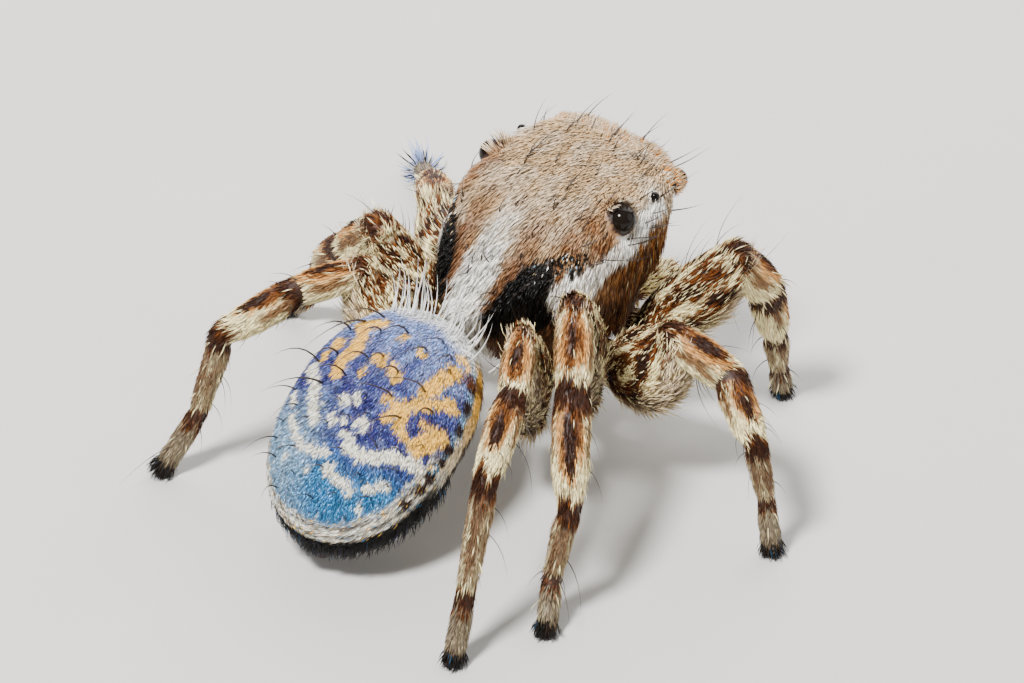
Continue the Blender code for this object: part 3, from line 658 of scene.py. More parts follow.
def closed_grid(points):
    """Points and faces of a closed surface from a grid of rings, with a fan over each end."""
    rows, columns = points.shape[:2]
    faces = squares(rows, columns)
    ring = np.arange(columns)
    after = (ring + 1) % columns
    first = np.full(columns, rows * columns)
    start = np.stack([first, after, ring, ring], -1)
    end = np.stack([first + 1, ring + (rows - 1) * columns, after + (rows - 1) * columns,
                    after + (rows - 1) * columns], -1)
    tips = np.stack([points[0].mean(0), points[-1].mean(0)])
    places = np.concatenate([points.reshape(-1, 3), tips])
    faces = np.concatenate([faces, start, end])
    return places, outward_faces(places, faces)


def outward_faces(places, faces):
    """The faces turned so that the closed surface encloses a positive volume."""
    one, two, three = (places[faces[:, k]] for k in (0, 1, 2))
    volume = (one * np.cross(two, three)).sum() + (one * np.cross(three, places[faces[:, 3]])).sum()
    return faces if volume > 0 else faces[:, ::-1]


def mesh_object(name, places, faces, in_metres=False):
    """An object from points in millimetres and faces of four corners, where a triangle has its first or
    its last corner twice."""
    mesh = bpy.data.meshes.new(name)
    twice_last = faces[:, 2] == faces[:, 3]
    twice_first = faces[:, 0] == faces[:, 1]
    sizes = np.where(twice_last | twice_first, 3, 4)
    keep = np.ones(faces.shape, bool)
    keep[:, 3] = ~twice_last
    keep[:, 0] = twice_last | ~twice_first
    corners = faces[keep]
    starts = np.concatenate([[0], np.cumsum(sizes)[:-1]])
    points = places if in_metres else places * MM + SHIFT
    mesh.vertices.add(len(points))
    mesh.vertices.foreach_set("co", points.astype(np.float32).ravel())
    mesh.loops.add(len(corners))
    mesh.loops.foreach_set("vertex_index", corners.astype(np.int32))
    mesh.polygons.add(len(faces))
    mesh.polygons.foreach_set("loop_start", starts.astype(np.int32))
    mesh.update(calc_edges=True)
    mesh.shade_smooth()
    made = bpy.data.objects.new(name, mesh)
    bpy.context.scene.collection.objects.link(made)
    return made


def paint(thing, name, values):
    """Keeps a colour for every point of a mesh in an attribute."""
    attribute = thing.data.attributes.new(name, "FLOAT_COLOR", "POINT")
    filled = np.ones((len(values), 4), np.float32)
    filled[:, :3] = values
    attribute.data.foreach_set("color", filled.ravel())


def joined(batches):
    """Points and faces of many meshes as one, each batch's corner numbers raised by the points before."""
    places, faces = [], []
    count = 0
    for points, corners in batches:
        places.append(points.reshape(-1, 3))
        faces.append(corners + count)
        count += len(places[-1])
    return np.concatenate(places), np.concatenate(faces)


# Finishes


class Wire:
    """A socket in a shader expression: each operator adds a Math node."""

    def __init__(self, finish, socket):
        self.finish = finish
        self.socket = socket

    def math(self, operation, one, two):
        """A Math node of two values or wires."""
        return self.finish.node("ShaderNodeMath", {"operation": operation}, {0: one, 1: two})

    def __add__(self, other):
        return self.math("ADD", self, other)

    def __sub__(self, other):
        return self.math("SUBTRACT", self, other)

    def __mul__(self, other):
        return self.math("MULTIPLY", self, other)

    def __rsub__(self, other):
        return self.math("SUBTRACT", other, self)

    __radd__ = __add__
    __rmul__ = __mul__


class Finish:
    """The node tree of one material."""

    def __init__(self, name, **constants):
        self.material = bpy.data.materials.new(name)
        self.material.use_nodes = True
        self.tree = self.material.node_tree
        self.shader = self.tree.nodes["Principled BSDF"]
        for socket, value in constants.items():
            self.shader.inputs[socket.replace("_", " ")].default_value = value

    def node(self, kind, settings, values, output=0):
        """Adds a node: its settings first, then the values or links of its sockets."""
        made = self.tree.nodes.new(kind)
        for name, value in settings.items():
            setattr(made, name, value)
        for socket, value in values.items():
            if isinstance(value, Wire):
                self.tree.links.new(value.socket, made.inputs[socket])
            else:
                made.inputs[socket].default_value = value
        return Wire(self, made.outputs[output])

    def mix(self, share, one, two):
        """The first colour where the share is 0, the second where it is 1, and a mix between."""
        settings = {"data_type": "RGBA", "clamp_factor": True}
        return self.node("ShaderNodeMix", settings, {0: share, 6: one, 7: two}, 2)

    def scaled(self, tint, value):
        """A colour made lighter or darker by a value."""
        return self.node("ShaderNodeVectorMath", {"operation": "SCALE"}, {0: tint, 3: value})

    def attribute(self, name):
        """A colour that the mesh keeps for each of its points."""
        return self.node("ShaderNodeAttribute", {"attribute_name": name}, {})

    def channel(self, tint, index):
        """One of a colour's three values."""
        return self.node("ShaderNodeSeparateColor", {}, {0: tint}, index)

    def noise(self, scale):
        """Noise from 0 to 1 in object coordinates, at a scale in features a metre."""
        place = self.node("ShaderNodeTexCoord", {}, {}, 3)
        return self.node("ShaderNodeTexNoise", {}, {"Vector": place, "Scale": scale, "Detail": 3.0,
                                                    "Roughness": 0.55})

    def feed(self, socket, value):
        """Links a value to a socket of the material's shader."""
        self.tree.links.new(value.socket, self.shader.inputs[socket])

    def bump(self, height, distance):
        """Lets a height in shares of a distance in metres bend the surface's normal."""
        self.feed("Normal", self.node("ShaderNodeBump", {}, {"Distance": distance, "Height": height}))

    def put_on(self, thing):
        """Makes this the only material of an object."""
        thing.data.materials.clear()
        thing.data.materials.append(self.material)


def speckled(name, scale, one, two, **constants):
    """A finish whose colour is mixed from two by noise of a scale."""
    finish = Finish(name, **constants)
    finish.feed("Base Color", finish.mix(finish.noise(scale), (*one, 1), (*two, 1)))
    return finish


def furry(name, shine_metal=0.0, roughness=0.55, specular=0.25):
    """The finish of a coat: its points' colours, mottled, and glossier or metallic where shine says."""
    finish = Finish(name, Specular_IOR_Level=specular)
    mottle = finish.noise(9000.0)
    tint = finish.scaled(finish.attribute("coat_colour"), mottle * 0.4 + 0.82)
    shine = finish.channel(finish.attribute("coat_shine"), 0)
    finish.feed("Base Color", tint)
    finish.feed("Roughness", roughness - shine * 0.2)
    if shine_metal:
        finish.feed("Metallic", shine * shine_metal)
    return finish


def bare_skin():
    """The finish of the skin: the coat's colours in shade, with fine creases."""
    finish = Finish("spider_skin", Specular_IOR_Level=0.4)
    grain = finish.noise(26000.0)
    finish.feed("Base Color", finish.scaled(finish.attribute("coat_colour"), grain * 0.6 + 0.4))
    finish.feed("Roughness", grain * 0.25 + 0.45)
    finish.bump(grain, 0.00001)
    return finish


# Markings


def from_path(places, path):
    """Distance of each place to the nearest of a path's straight pieces: to the foot of its plumb line
    on a piece, or to the piece's nearer end."""
    nearest = np.full(len(places), np.inf)
    for one, two in zip(path, path[1:]):
        one = np.array(one)
        run = np.array(two) - one
        share = np.clip((places - one) @ run / (run @ run), 0, 1)
        nearest = np.minimum(nearest, np.linalg.norm(places - one - share[:, None] * run, axis=-1))
    return nearest


def marked(places, marks):
    """How much each place lies in any of the marks: a smooth step over its distance to a mark's path
    less half the mark's width, made ragged by noise."""
    ragged = ripple(places, 0.07, 3) * 0.013 + ripple(places, 0.03, 4) * 0.009
    found = np.zeros(len(places))
    for path, width in marks:
        past = from_path(places, path) - width / 2 + ragged
        found = np.maximum(found, 1 - step_between(-MARK_SOFTNESS, MARK_SOFTNESS, past))
    return found


def all_over(name, count):
    """One colour of the palette for each of many points."""
    return np.repeat(palette(name)[None], count, 0)


def over(under, share, name):
    """A colour of the palette laid over others by a share for each place."""
    return under + (palette(name) - under) * share[:, None]


def abdomen_colour(backward, across, above):
    """The abdomen's colours and shine: blue scales with a painted sheen over the left rear, cream and
    orange marks, a pale band along the rear rim, an orange strip with black spots along the front one,
    painted shade just under the rim, and black below the rear."""
    places = np.stack([backward, across], -1)
    aside = np.abs(across)
    drift = ripple(places, 0.5, 5) * 0.08
    ragged = ripple(np.stack([backward, across, above * 2], -1), 0.09, 6) * 0.016
    tint = all_over("violet", len(places))
    patchy = ripple(places, 0.22, 7) * 0.16
    tint = over(tint, 1 - step_between(-0.76, -0.18, backward + patchy), "lilac")
    tint = over(tint, step_between(0.22, 0.62, backward + drift + 0.15 * across), "turquoise")
    cloud = step_between(-0.1, 0.6, ripple(places, 0.17, 9)) * 0.40
    tint = over(tint, cloud * step_between(0.5, 0.1, backward), "lilac")
    # Painted sheen: pale blue laid over the left rear, where the light falls.
    painted_sheen = step_between(0.05, -0.36, across + drift) * step_between(-0.15, 0.40, backward + drift)
    tint = over(tint, painted_sheen * 0.85, "pale_blue")
    margin = step_between(0.17, 0.10, above + ragged)
    tint = over(tint, margin * 0.85, "pale_blue")
    orange = marked(places, ORANGE_MARKS) * (1 - margin)
    cream = marked(places, CREAM_MARKS)
    tint = over(tint, orange, "orange")
    tint = over(tint, cream, "cream")
    front = 1 - step_between(-0.88, -0.80, backward - 0.14 * (across / 0.5) ** 2 + drift * 0.3)
    tint = over(tint, front * 0.8, "white")
    rear = step_between(-0.02, 0.12, backward + drift * 0.3)
    band = step_between(0.235, 0.175, above + ragged * 1.6) * rear
    ruffle = 0.5 + 0.5 * np.sin((above + ragged * 1.4) * 84)
    tint = over(tint, band * 0.92, "cream")
    tint = over(tint, band * step_between(-0.2, 0.6, ripple(places, 0.12, 10)) * 0.18, "orange")
    tint = over(tint, band * ruffle ** 3 * 0.9, "leg_dark")
    strip = step_between(0.075, 0.050, above + ragged * 1.8) * (1 - rear)
    strip = strip * step_between(-0.80, -0.70, backward)
    tint = over(tint, strip, "orange")
    tint = over(tint, strip * step_between(-0.45, -0.1, backward + drift) * 0.7, "cream")
    spots = np.full(len(places), np.inf)
    for spot in BLACK_SPOTS:
        spots = np.minimum(spots, np.hypot(backward - spot, (above - SPOT_HEIGHT) * 0.8))
    dark = (1 - step_between(0.036, 0.054, spots + ragged * 0.8)) * (aside > 0.3)
    tint = over(tint, dark, "leg_dark")
    corner = np.hypot(backward + 0.60, np.abs(aside - 0.56)) + ragged
    tint = over(tint, (1 - step_between(0.03, 0.07, corner)) * 0.8, "leg_brown")
    below = step_between(-0.07, -0.10, above + ragged)
    fringe = step_between(0.020, -0.005, above + ragged) * step_between(0.10, 0.30, backward)
    tint = over(tint, below, "foot_grey")
    # Painted shade: dark just under the rim, where the rim shades the sides; the grey further under is the
    # belly's own colour.
    tint = over(tint, below * (1 - step_between(0.18, 0.30, -above)), "leg_dark")
    tint = over(tint, fringe * (1 - step_between(0.22, 0.34, -above)), "black")
    blue = (1 - np.maximum.reduce([orange, cream, front, strip, dark])) * (1 - np.maximum(below, fringe))
    return tint, blue * (0.9 - 0.5 * band)


def head_colour(points):
    """The head's colours and shine: tan above, a pale band down the rear slope between rusty and black
    ones, a pale stripe under the side eyes, rusty and dark cheeks and a pale face."""
    forward, right, height = -points[:, 1], np.abs(points[:, 0]), points[:, 2]
    drift = ripple(points, 0.35, 12) * 0.05
    fine = ripple(points, 0.10, 13) * 0.03
    tint = all_over("tan", len(points))
    tint = over(tint, step_between(-0.2, 0.5, ripple(points, 0.30, 14)) * 0.7, "grey")
    shoulder = step_between(0.34, 0.54, right + drift) * step_between(0.15, -0.10, forward)
    tint = over(tint, shoulder * np.clip(0.68 + 0.35 * fine / 0.03, 0, 1), "orange_brown")
    slope = step_between(-0.16, -0.50, forward + drift) * step_between(1.30, 1.50, height)
    beside = 1 - step_between(0.05, 0.12, np.abs(right - 0.25 + fine))
    tint = over(tint, slope * beside * 0.60, "orange_brown")
    tint = over(tint, step_between(-0.55, -0.75, forward) * beside * 0.6, "orange_brown")
    low = step_between(1.80, 1.68, height + drift) * step_between(-0.25, 0.0, forward)
    tint = over(tint, low, "orange_brown")
    flakes = ripple(points * (1.0, 1.5, 0.4), 0.11, 17)
    tint = over(tint, low * step_between(0.05, 0.45, flakes) * 0.45, "rust")
    tint = over(tint, low * step_between(-0.10, -0.45, flakes) * 0.6, "leg_dark")
    cheek = step_between(1.52, 1.34, height + drift + fine) * step_between(0.80, 0.60, forward)
    tint = over(tint, cheek * 0.68, "leg_dark")
    tint = over(tint, step_between(1.24, 1.10, height + drift), "leg_brown")
    spots = np.stack([forward, right, height], -1)
    patch = from_path(spots, BLACK_PATCH)
    black = 1 - step_between(0.13, 0.17, patch + fine)
    tint = over(tint, (1 - step_between(0.17, 0.23, patch + fine)) * (1 - black) * 0.7, "leg_brown")
    tint = over(tint, black, "black")
    side = spots[:, ::2]
    lateral = step_between(0.45, 0.55, right)
    stripe = from_path(side, EYE_STRIPE)
    tint = over(tint, (1 - step_between(0.045, 0.075, stripe + fine)) * lateral, "white")
    under_eye = from_path(side, LOW_STRIPE)
    tint = over(tint, (1 - step_between(0.09, 0.13, under_eye + fine)) * lateral, "white")
    half = 0.085 + 0.055 * step_between(-0.45, -0.85, forward)
    middle = 1 - step_between(half - 0.02, half + 0.05, right + fine)
    middle = middle * step_between(-0.22, -0.42, forward + fine) * step_between(0.95, 1.12, height)
    streaked = 0.62 + 0.38 * step_between(-0.45, -0.65, forward)
    streaked = streaked + 0.3 * ripple(points * (2.5, 0.6, 0.6), 0.12, 16)
    tint = over(tint, middle * np.clip(streaked, 0, 1), "white")
    face = step_between(0.62, 0.72, forward + FACE_SLANT * (FACE_TOP - height))
    tint = over(tint, face * step_between(1.50, 1.42, height), "white")
    brow = step_between(0.60, 0.80, forward) * step_between(1.90, 1.98, height)
    tint = over(tint, brow * (0.06 + 0.30 * step_between(0.35, 0.60, right)), "rust")
    return tint, black * 0.9


def from_top(angle):
    """How many radians an angle lies from the top of a leg, either way round."""
    return np.abs((angle - math.pi / 2 + math.pi) % math.tau - math.pi)


def blotch(place, angle, first, last, half):
    """A drop-shaped mark on the top of a leg between two places, whose width follows the root of a half
    sine up to half radians each way."""
    share = np.clip((place - first) / (last - first), 0.001, 0.999)
    wide = half * np.sqrt(np.sin(share * math.pi))
    off = from_top(angle)
    within = (place > first) & (place < last)
    return (1 - step_between(0.75, 1.2, off / (wide + 0.02))) * within


def leg_colour(name, place, angle):
    """A leg's colours: cream with brown drops and side stripes, dark rings at its joints, streaked
    thighs, paler below, and a grey foot with a dark end. Noise shifts the marks along and round."""
    seed = 20 + list(LEG_POSES).index(name)
    side = np.cos(angle)
    top = np.sin(angle)
    streaks = ripple(np.stack([place * 0.28, side, top], -1), 0.42, seed)
    fine = ripple(np.stack([place * 0.5, side * 2, top * 2], -1), 0.5, seed + 8)
    shifted = place + 0.16 * fine + 0.10 * streaks
    turned = angle + 0.20 * streaks
    tint = all_over("leg_cream", len(place))
    tint = over(tint, step_between(0.2, 0.8, fine) * 0.35, "leg_brown")
    thigh = 1 - step_between(KNEE - 0.65, KNEE - 0.25, place)
    tint = over(tint, thigh * step_between(-0.75, -0.30, streaks + fine * 0.3), "leg_brown")
    tint = over(tint, thigh * step_between(-0.05, 0.40, streaks + fine * 0.3), "leg_dark")
    below = thigh * step_between(-0.45, -0.85, top)
    tint = over(tint, below * 0.70, "grey")
    flank = 1 - step_between(0.20, 0.42, np.abs(from_top(turned) - 1.30))
    for first, last, share in FLANK_STRIPES:
        run = step_between(first, first + 0.3, shifted) * step_between(last, last - 0.4, shifted)
        tint = over(tint, flank * run * share, "leg_brown")
    for first, last, half, share, tone in LEG_BLOTCHES:
        tint = over(tint, blotch(shifted, turned, first, last, half) * share, tone)
    lower = step_between(ANKLE, ANKLE + 0.3, place)
    tint = over(tint, lower * step_between(-0.35, 0.25, streaks) * 0.75, "leg_brown")
    tint = over(tint, lower * 0.3, "foot_grey")
    foot = step_between(TOE - 0.2, TOE + 0.4, place) * (0.85 - 0.3 * step_between(0.0, 0.5, fine))
    tint = over(tint, foot, "foot_grey")
    for joint, wide in JOINT_RINGS:
        gap = np.abs(shifted - joint - 0.12 * np.cos(3 * angle))
        tint = over(tint, 1 - step_between(wide + 0.12, wide + 0.30, gap), "leg_brown")
        tint = over(tint, (1 - step_between(wide, wide + 0.14, gap)) * 0.9, "leg_dark")
    tint = over(tint, step_between(SOLE - 1.5, SOLE - 1.1, place), "leg_dark")
    return tint, np.zeros(len(place))


# Skin


def skin_parts():
    """Each part of the flesh as a grid of points with its colours, drawn inside the coat's outline."""
    depth = coat_settings().skin_depth / MM
    turn, angle = grid(-POLE, POLE, *HEAD_GRID)
    turn = turn * math.pi
    head = head_surface(turn, angle, -depth)
    yield head, head_colour(head.reshape(-1, 3))[0]
    places = (v.ravel() for v in abdomen_place(turn, angle))
    yield abdomen_surface(turn, angle, -depth), abdomen_colour(*places)[0]
    for name in LEG_POSES:
        place, angle = grid(0.02, SOLE - 0.01, *LEG_GRID)
        tint = leg_colour(name, place.ravel(), angle.ravel())[0]
        yield leg_surface(name)(place, angle, -depth * LEG_DEPTH), tint
    for surface, last in mouth_surfaces().values():
        place, angle = grid(0.01, last - 0.01, *MOUTH_GRID)
        yield surface(place, angle, -depth * MOUTH_DEPTH), all_over("leg_brown", place.size)
    for kind, _, middle, axis, radius in each_eye():
        centre = middle - axis * radius * SOCKET_DEPTH
        ball = eye_surface(centre, radius * (SOCKET_WIDTHS[kind] - SOCKET_SKIN))
        yield ball, all_over("leg_dark", ball.size // 3)
    for ends, radii in (([at(*spot) for spot in PEDICEL], PEDICEL_RADII),
                        ([on_abdomen(*spot) for spot in SPINNERETS], SPINNERET_RADII)):
        place, angle = grid(0.01, 1.99, *TUBE_GRID)
        yield tube_surface(ends, radii)(place, angle), all_over("leg_dark", place.size)


def relaxed(points, mesh, rounds=3):
    """Each point moved half way to the middle of its neighbours, a few times over."""
    edges = np.empty(len(mesh.edges) * 2, np.int32)
    mesh.edges.foreach_get("vertices", edges)
    one, two = edges.reshape(-1, 2).T
    ends = np.concatenate([one, two])
    others = np.concatenate([two, one])
    number = np.bincount(ends, minlength=len(points))[:, None]
    for _ in range(rounds):
        total = np.stack([np.bincount(ends, points[others, k], len(points)) for k in range(3)], -1)
        points = (points + total / np.maximum(number, 1)) / 2
    return points


def fused_skin():
    """All parts of the flesh made one surface by a voxel remesh in millimetres, then smoothed and
    brought to the frame's place."""
    parts = list(skin_parts())
    tints = [np.concatenate([tint, tint[:1], tint[-1:]]) for _, tint in parts]
    skin = mesh_object("skin", *joined(closed_grid(points) for points, _ in parts), in_metres=True)
    paint(skin, "coat_colour", np.concatenate(tints))
    skin.data.remesh_voxel_size = SKIN_VOXEL
    skin.data.use_remesh_preserve_attributes = True
    bpy.context.view_layer.objects.active = skin
    skin.select_set(True)
    bpy.ops.object.voxel_remesh()
    points = np.empty(len(skin.data.vertices) * 3, np.float32)
    skin.data.vertices.foreach_get("co", points)
    points = relaxed(points.reshape(-1, 3), skin.data)
    skin.data.vertices.foreach_set("co", (points * MM + SHIFT).astype(np.float32).ravel())
    skin.data.update()
    skin.data.shade_smooth()
    return skin


# Tufts


def inside(surface, depth):
    """A surface as a function of its two parameters alone, drawn further in by a depth."""
    return lambda first, second: surface(first, second, -depth)


def square_to(surface, one, two, step):
    """Directions square to a surface: the cross product of its two steps at each place."""
    return unit(np.cross(surface(one + step, two) - surface(one - step, two),
                         surface(one, two + step) - surface(one, two - step)))


def heading_on(surface, place, angle):
    """Directions in which a leg's or a tube's surface runs on, from points just before and after."""
    return unit(surface(place + 0.05, angle) - surface(place - 0.05, angle))


def unwrapped(turn, angle):
    """Places on the bake map: the share of the full turn, and the first angle's share of the half one."""
    return np.stack([(angle % math.tau) / math.tau, turn / math.pi + 0.5], -1)


def scattered(surface, first, second, count, draw, density=None):
    """Random places on a surface with their points and outward directions: the surface's cells are
    drawn by their area, and by a density where one is given, and each place lies anywhere in its cell."""
    one, one_step = np.linspace(*first, SAMPLE_CELLS, endpoint=False, retstep=True)
    two, two_step = np.linspace(*second, SAMPLE_CELLS, endpoint=False, retstep=True)
    one, two = (v.ravel() for v in np.meshgrid(one, two, indexing="ij"))
    middle = one + one_step / 2, two + two_step / 2
    run = surface(one + one_step, middle[1]) - surface(one, middle[1])
    turn = surface(middle[0], two + two_step) - surface(middle[0], two)
    weight = np.linalg.norm(np.cross(run, turn), axis=-1)
    if density is not None:
        weight = weight * density(surface(*middle))
    chosen = draw.choice(len(one), count, p=weight / weight.sum())
    one = one[chosen] + draw.random(count) * one_step
    two = two[chosen] + draw.random(count) * two_step
    points = surface(one, two)
    square = square_to(surface, one, two, 0.003)
    inward = (square * (surface(one, two + math.pi) - points)).sum(-1) > 0
    square[inward] *= -1
    return one, two, points, square


def tuft_faces(rings):
    """Faces of one tuft: squares between its three-cornered rings, a point on top and a closed base."""
    squares_up = [[r * 3 + k, r * 3 + (k + 1) % 3, r * 3 + 3 + (k + 1) % 3, r * 3 + 3 + k]
                  for r in range(rings - 1) for k in range(3)]
    last = rings * 3 - 3
    point = [[last + k, last + (k + 1) % 3, last + 3, last + 3] for k in range(3)]
    return np.array(squares_up + point + [[2, 1, 0, 0]])[:, ::-1]


def tuft_mesh(kind, roots, out, lie, reach, width, lift):
    """Points and faces of many tufts: each a three-sided blade that starts under the skin, runs on along
    its lie, rises by shares of its lift and ends in a tip."""
    count = len(roots)
    lie = unit(lie - out * (lie * out).sum(-1, keepdims=True))
    across = np.cross(lie, out)
    base = roots - out * TUFT_SUNK
    reach, width, lift = (np.broadcast_to(v, count)[:, None] for v in (reach, width, lift))
    rings = []
    for share, girth, rise, _, _ in kind:
        middle = base + lie * reach * share + out * (reach * lift + TUFT_SUNK) * rise
        rings += [middle + across * width * girth / 2, middle + out * width * girth * TUFT_THICKNESS,
                  middle - across * width * girth / 2]
    rings.append(base + lie * reach + out * (reach * lift + TUFT_SUNK))
    places = np.stack(rings, 1)
    faces = tuft_faces(len(kind))[None] + np.arange(count)[:, None, None] * places.shape[1]
    return places, faces.reshape(-1, 4)


def coat_piece(name, groups, finish):
    """One object of many tufts with their colours, shine and a bake map that holds a patch for each."""
    batches, tints, shines, spots = [], [], [], []
    for group in groups:
        kind = group.get("kind", SHORT_TUFT)
        points, corners = tuft_mesh(kind, *group["shape"])
        points[..., 2] = np.maximum(points[..., 2], LOWEST)
        batches.append((points, corners))
        # Each tuft's colour takes painted shade at its root and painted light at its tip.
        shade = np.array([ring[3] for ring in kind for _ in range(3)] + [TIP_PAINTED_LIGHT])
        patch = np.array([(k / 2, ring[4]) for ring in kind for k in range(3)] + [(0.5, 1)]) * PATCH
        tints.append((group["tint"][:, None] * shade[None, :, None]).reshape(-1, 3))
        shines.append(np.repeat(group["shine"], len(shade)))
        spots.append((group["map"][:, None] * (1 - PATCH) + patch[None]).reshape(-1, 2))
    made = mesh_object(name, *joined(batches))
    paint(made, "coat_colour", np.concatenate(tints))
    paint(made, "coat_shine", np.concatenate(shines)[:, None])
    corners = np.empty(len(made.data.loops), np.int32)
    made.data.loops.foreach_get("vertex_index", corners)
    bake = made.data.uv_layers.new(name="OFBake")
    bake.data.foreach_set("uv", np.concatenate(spots)[corners].astype(np.float32).ravel())
    finish.put_on(made)
    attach(made, "root")
    return made


def varied_tint(tint, draw, spread=0.17):
    """Colours made lighter or darker at random, by a factor whose logarithm has this spread."""
    return tint * np.exp(draw.normal(0, spread, len(tint)))[:, None]


def clear_of_eyes(points, tips):
    """Whether each tuft's root stays out of every socket, and the tuft out of every eye."""
    clear = np.ones(len(points), bool)
    for kind, _, middle, axis, radius in each_eye():
        socket = middle - axis * radius * SOCKET_DEPTH
        clear &= np.linalg.norm(points - socket, axis=-1) > radius * SOCKET_WIDTHS[kind]
        for share in (0.35, 0.7, 1.0):
            spot = points + (tips - points) * share
            clear &= np.linalg.norm(spot - middle, axis=-1) > radius * 1.08
    return clear


def head_lie(points, out, draw):
    """The lie of the head's hair: the sum of its lies above, at the sides, on the face and at the rear,
    each by how much the skin faces there, with a smooth sway and a random one."""
    facing = {"above": np.maximum(out[:, 2:3], 0), "side": np.abs(out[:, :1]),
              "face": np.maximum(-out[:, 1:2], 0), "rear": np.maximum(out[:, 1:2], 0)}
    lie = sum(np.array(HEAD_LIES[way]) * share for way, share in facing.items())
    sway = np.stack([ripple(points, 0.25, seed) for seed in (31, 32, 33)], -1)
    return lie + sway * HEAD_SWAY + draw.normal(0, 0.11, points.shape)


def head_coat_groups(sign, draw):
    """Tufts over one half of the head: longer where it is pale, where it is low and where they hang
    from its underside, and shorter on the face and among the glossy grains."""
    settings = coat_settings()
    count = settings.head_tufts

    def half(points):
        return (points[:, 0] * sign <= 0) * (0.55 + 0.45 * step_between(0.9, 1.3, points[:, 2]))

    surface = inside(head_surface, settings.skin_depth / MM)
    turn, angle, points, out = scattered(surface, (-1.56, 1.56), (0, math.tau), count, draw, half)
    forward, height = -points[:, 1], points[:, 2]
    lie = head_lie(points, out, draw)
    tint, shine = head_colour(points)
    pale = step_between(0.45, 0.6, tint.mean(-1))
    low = step_between(1.75, 1.45, height)
    face = np.maximum(-out[:, 1], 0)
    reach = settings.head_hair / MM * draw.uniform(0.65, 1.2, count)
    hanging = step_between(1.38, 1.12, height) * step_between(-0.5, -0.2, forward)
    reach = reach * (1 + 0.55 * pale + 0.5 * low + 1.1 * hanging) * (1 - 0.3 * face)
    width = settings.hair_width / MM * draw.uniform(0.75, 1.25, count)
    lift = draw.uniform(0.14, 0.34, count) + 0.10 * low
    grain = draw.random(count)
    glossy = granules(points)
    tint[grain < glossy * 0.85] = palette("black") * 2.5
    # Painted glints: a few tufts among the glossy grains in tan, pale blue and white.
    for least, name in ((0.89, "tan"), (0.93, "pale_blue"), (0.95, "white")):
        tint[(grain > least) & (glossy > 0.4)] = palette(name)
    shine = np.maximum(shine, glossy * 0.9)
    reach = reach * (1 - 0.45 * glossy)
    cheek = (forward > -0.1) & (height < 1.78)
    peppered = (grain < np.where(cheek, 0.28, 0.12)) & (shine < 0.5) & (tint.mean(-1) < 0.6)
    tint[peppered] = tint[peppered] * 0.30
    lone = cheek & (grain > 0.93) & (tint.mean(-1) < 0.5)
    tint[lone] = tint[lone] * 0.5 + palette("leg_cream") * 0.4
    clear = clear_of_eyes(points, points + unit(lie) * reach[:, None])
    shape = [v[clear] for v in (points, out, lie, reach, width, lift)]
    yield {"shape": shape, "tint": varied_tint(tint, draw)[clear], "shine": shine[clear],
           "map": unwrapped(turn, angle)[clear]}
    yield from socket_groups(sign, draw)
    yield brow_group(sign, draw)


def brow_group(sign, draw):
    """Hairs that point ahead and outwards over the front edge of the head."""
    count = BROW_TUFTS

    def edge(points):
        forward, height = -points[:, 1], points[:, 2]
        below = height < 2.03 + 0.2 * (forward > 0.75)
        return (points[:, 0] * sign <= 0) * (forward > 0.55) * (height > 1.88) * below

    surface = inside(head_surface, ROOT_DEPTH)
    turn, angle, points, out = scattered(surface, (0.3, 1.5), (0.1, math.pi - 0.1), count, draw, edge)
    lie = np.array((-sign * 0.35, -1.0, 0.15)) + draw.normal(0, 0.25, points.shape)
    reach = draw.uniform(0.06, 0.11, count)
    aside = step_between(0.35, 0.60, np.abs(points[:, 0]))
    chance = draw.random(count)[:, None]
    tint = np.where(chance < 0.08 + 0.25 * aside[:, None], palette("rust"), palette("tan"))
    tint = np.where(chance > 0.6, palette("grey"), tint)
    clear = clear_of_eyes(points, points + unit(lie) * reach[:, None])
    width = coat_settings().hair_width / MM * np.ones(count)
    shape = [v[clear] for v in (points, out, lie, reach, width, draw.uniform(0.15, 0.45, count))]
    return {"shape": shape, "tint": varied_tint(tint, draw)[clear], "shine": np.zeros(clear.sum()),
            "map": unwrapped(turn, angle)[clear]}


def granules(points):
    """Where the glossy dark grains lie, above and behind the black patch: a smooth step over the
    distance to their middle line, made ragged by noise."""
    spots = np.stack([-points[:, 1], np.abs(points[:, 0]), points[:, 2]], -1)
    return 1 - step_between(0.07, 0.12, from_path(spots, GRAINS) + ripple(points, 0.1, 15) * 0.03)


def head_map(points):
    """Place of head points on the bake map, from the two directions that head_surface starts with."""
    wide, high = HEAD_MAP_SIZE
    middle = (HEAD_FRONT + HEAD_REAR) / 2
    along = np.clip((-points[:, 1] - middle) / (HEAD_FRONT - middle), -0.999, 0.999)
    turn = np.arctan2(along, closing(along, HEAD_ALONG_ROUNDNESS))
    return unwrapped(turn, np.arctan2((points[:, 2] - HEAD_MIDDLE_HEIGHT) / high, -points[:, 0] / wide))


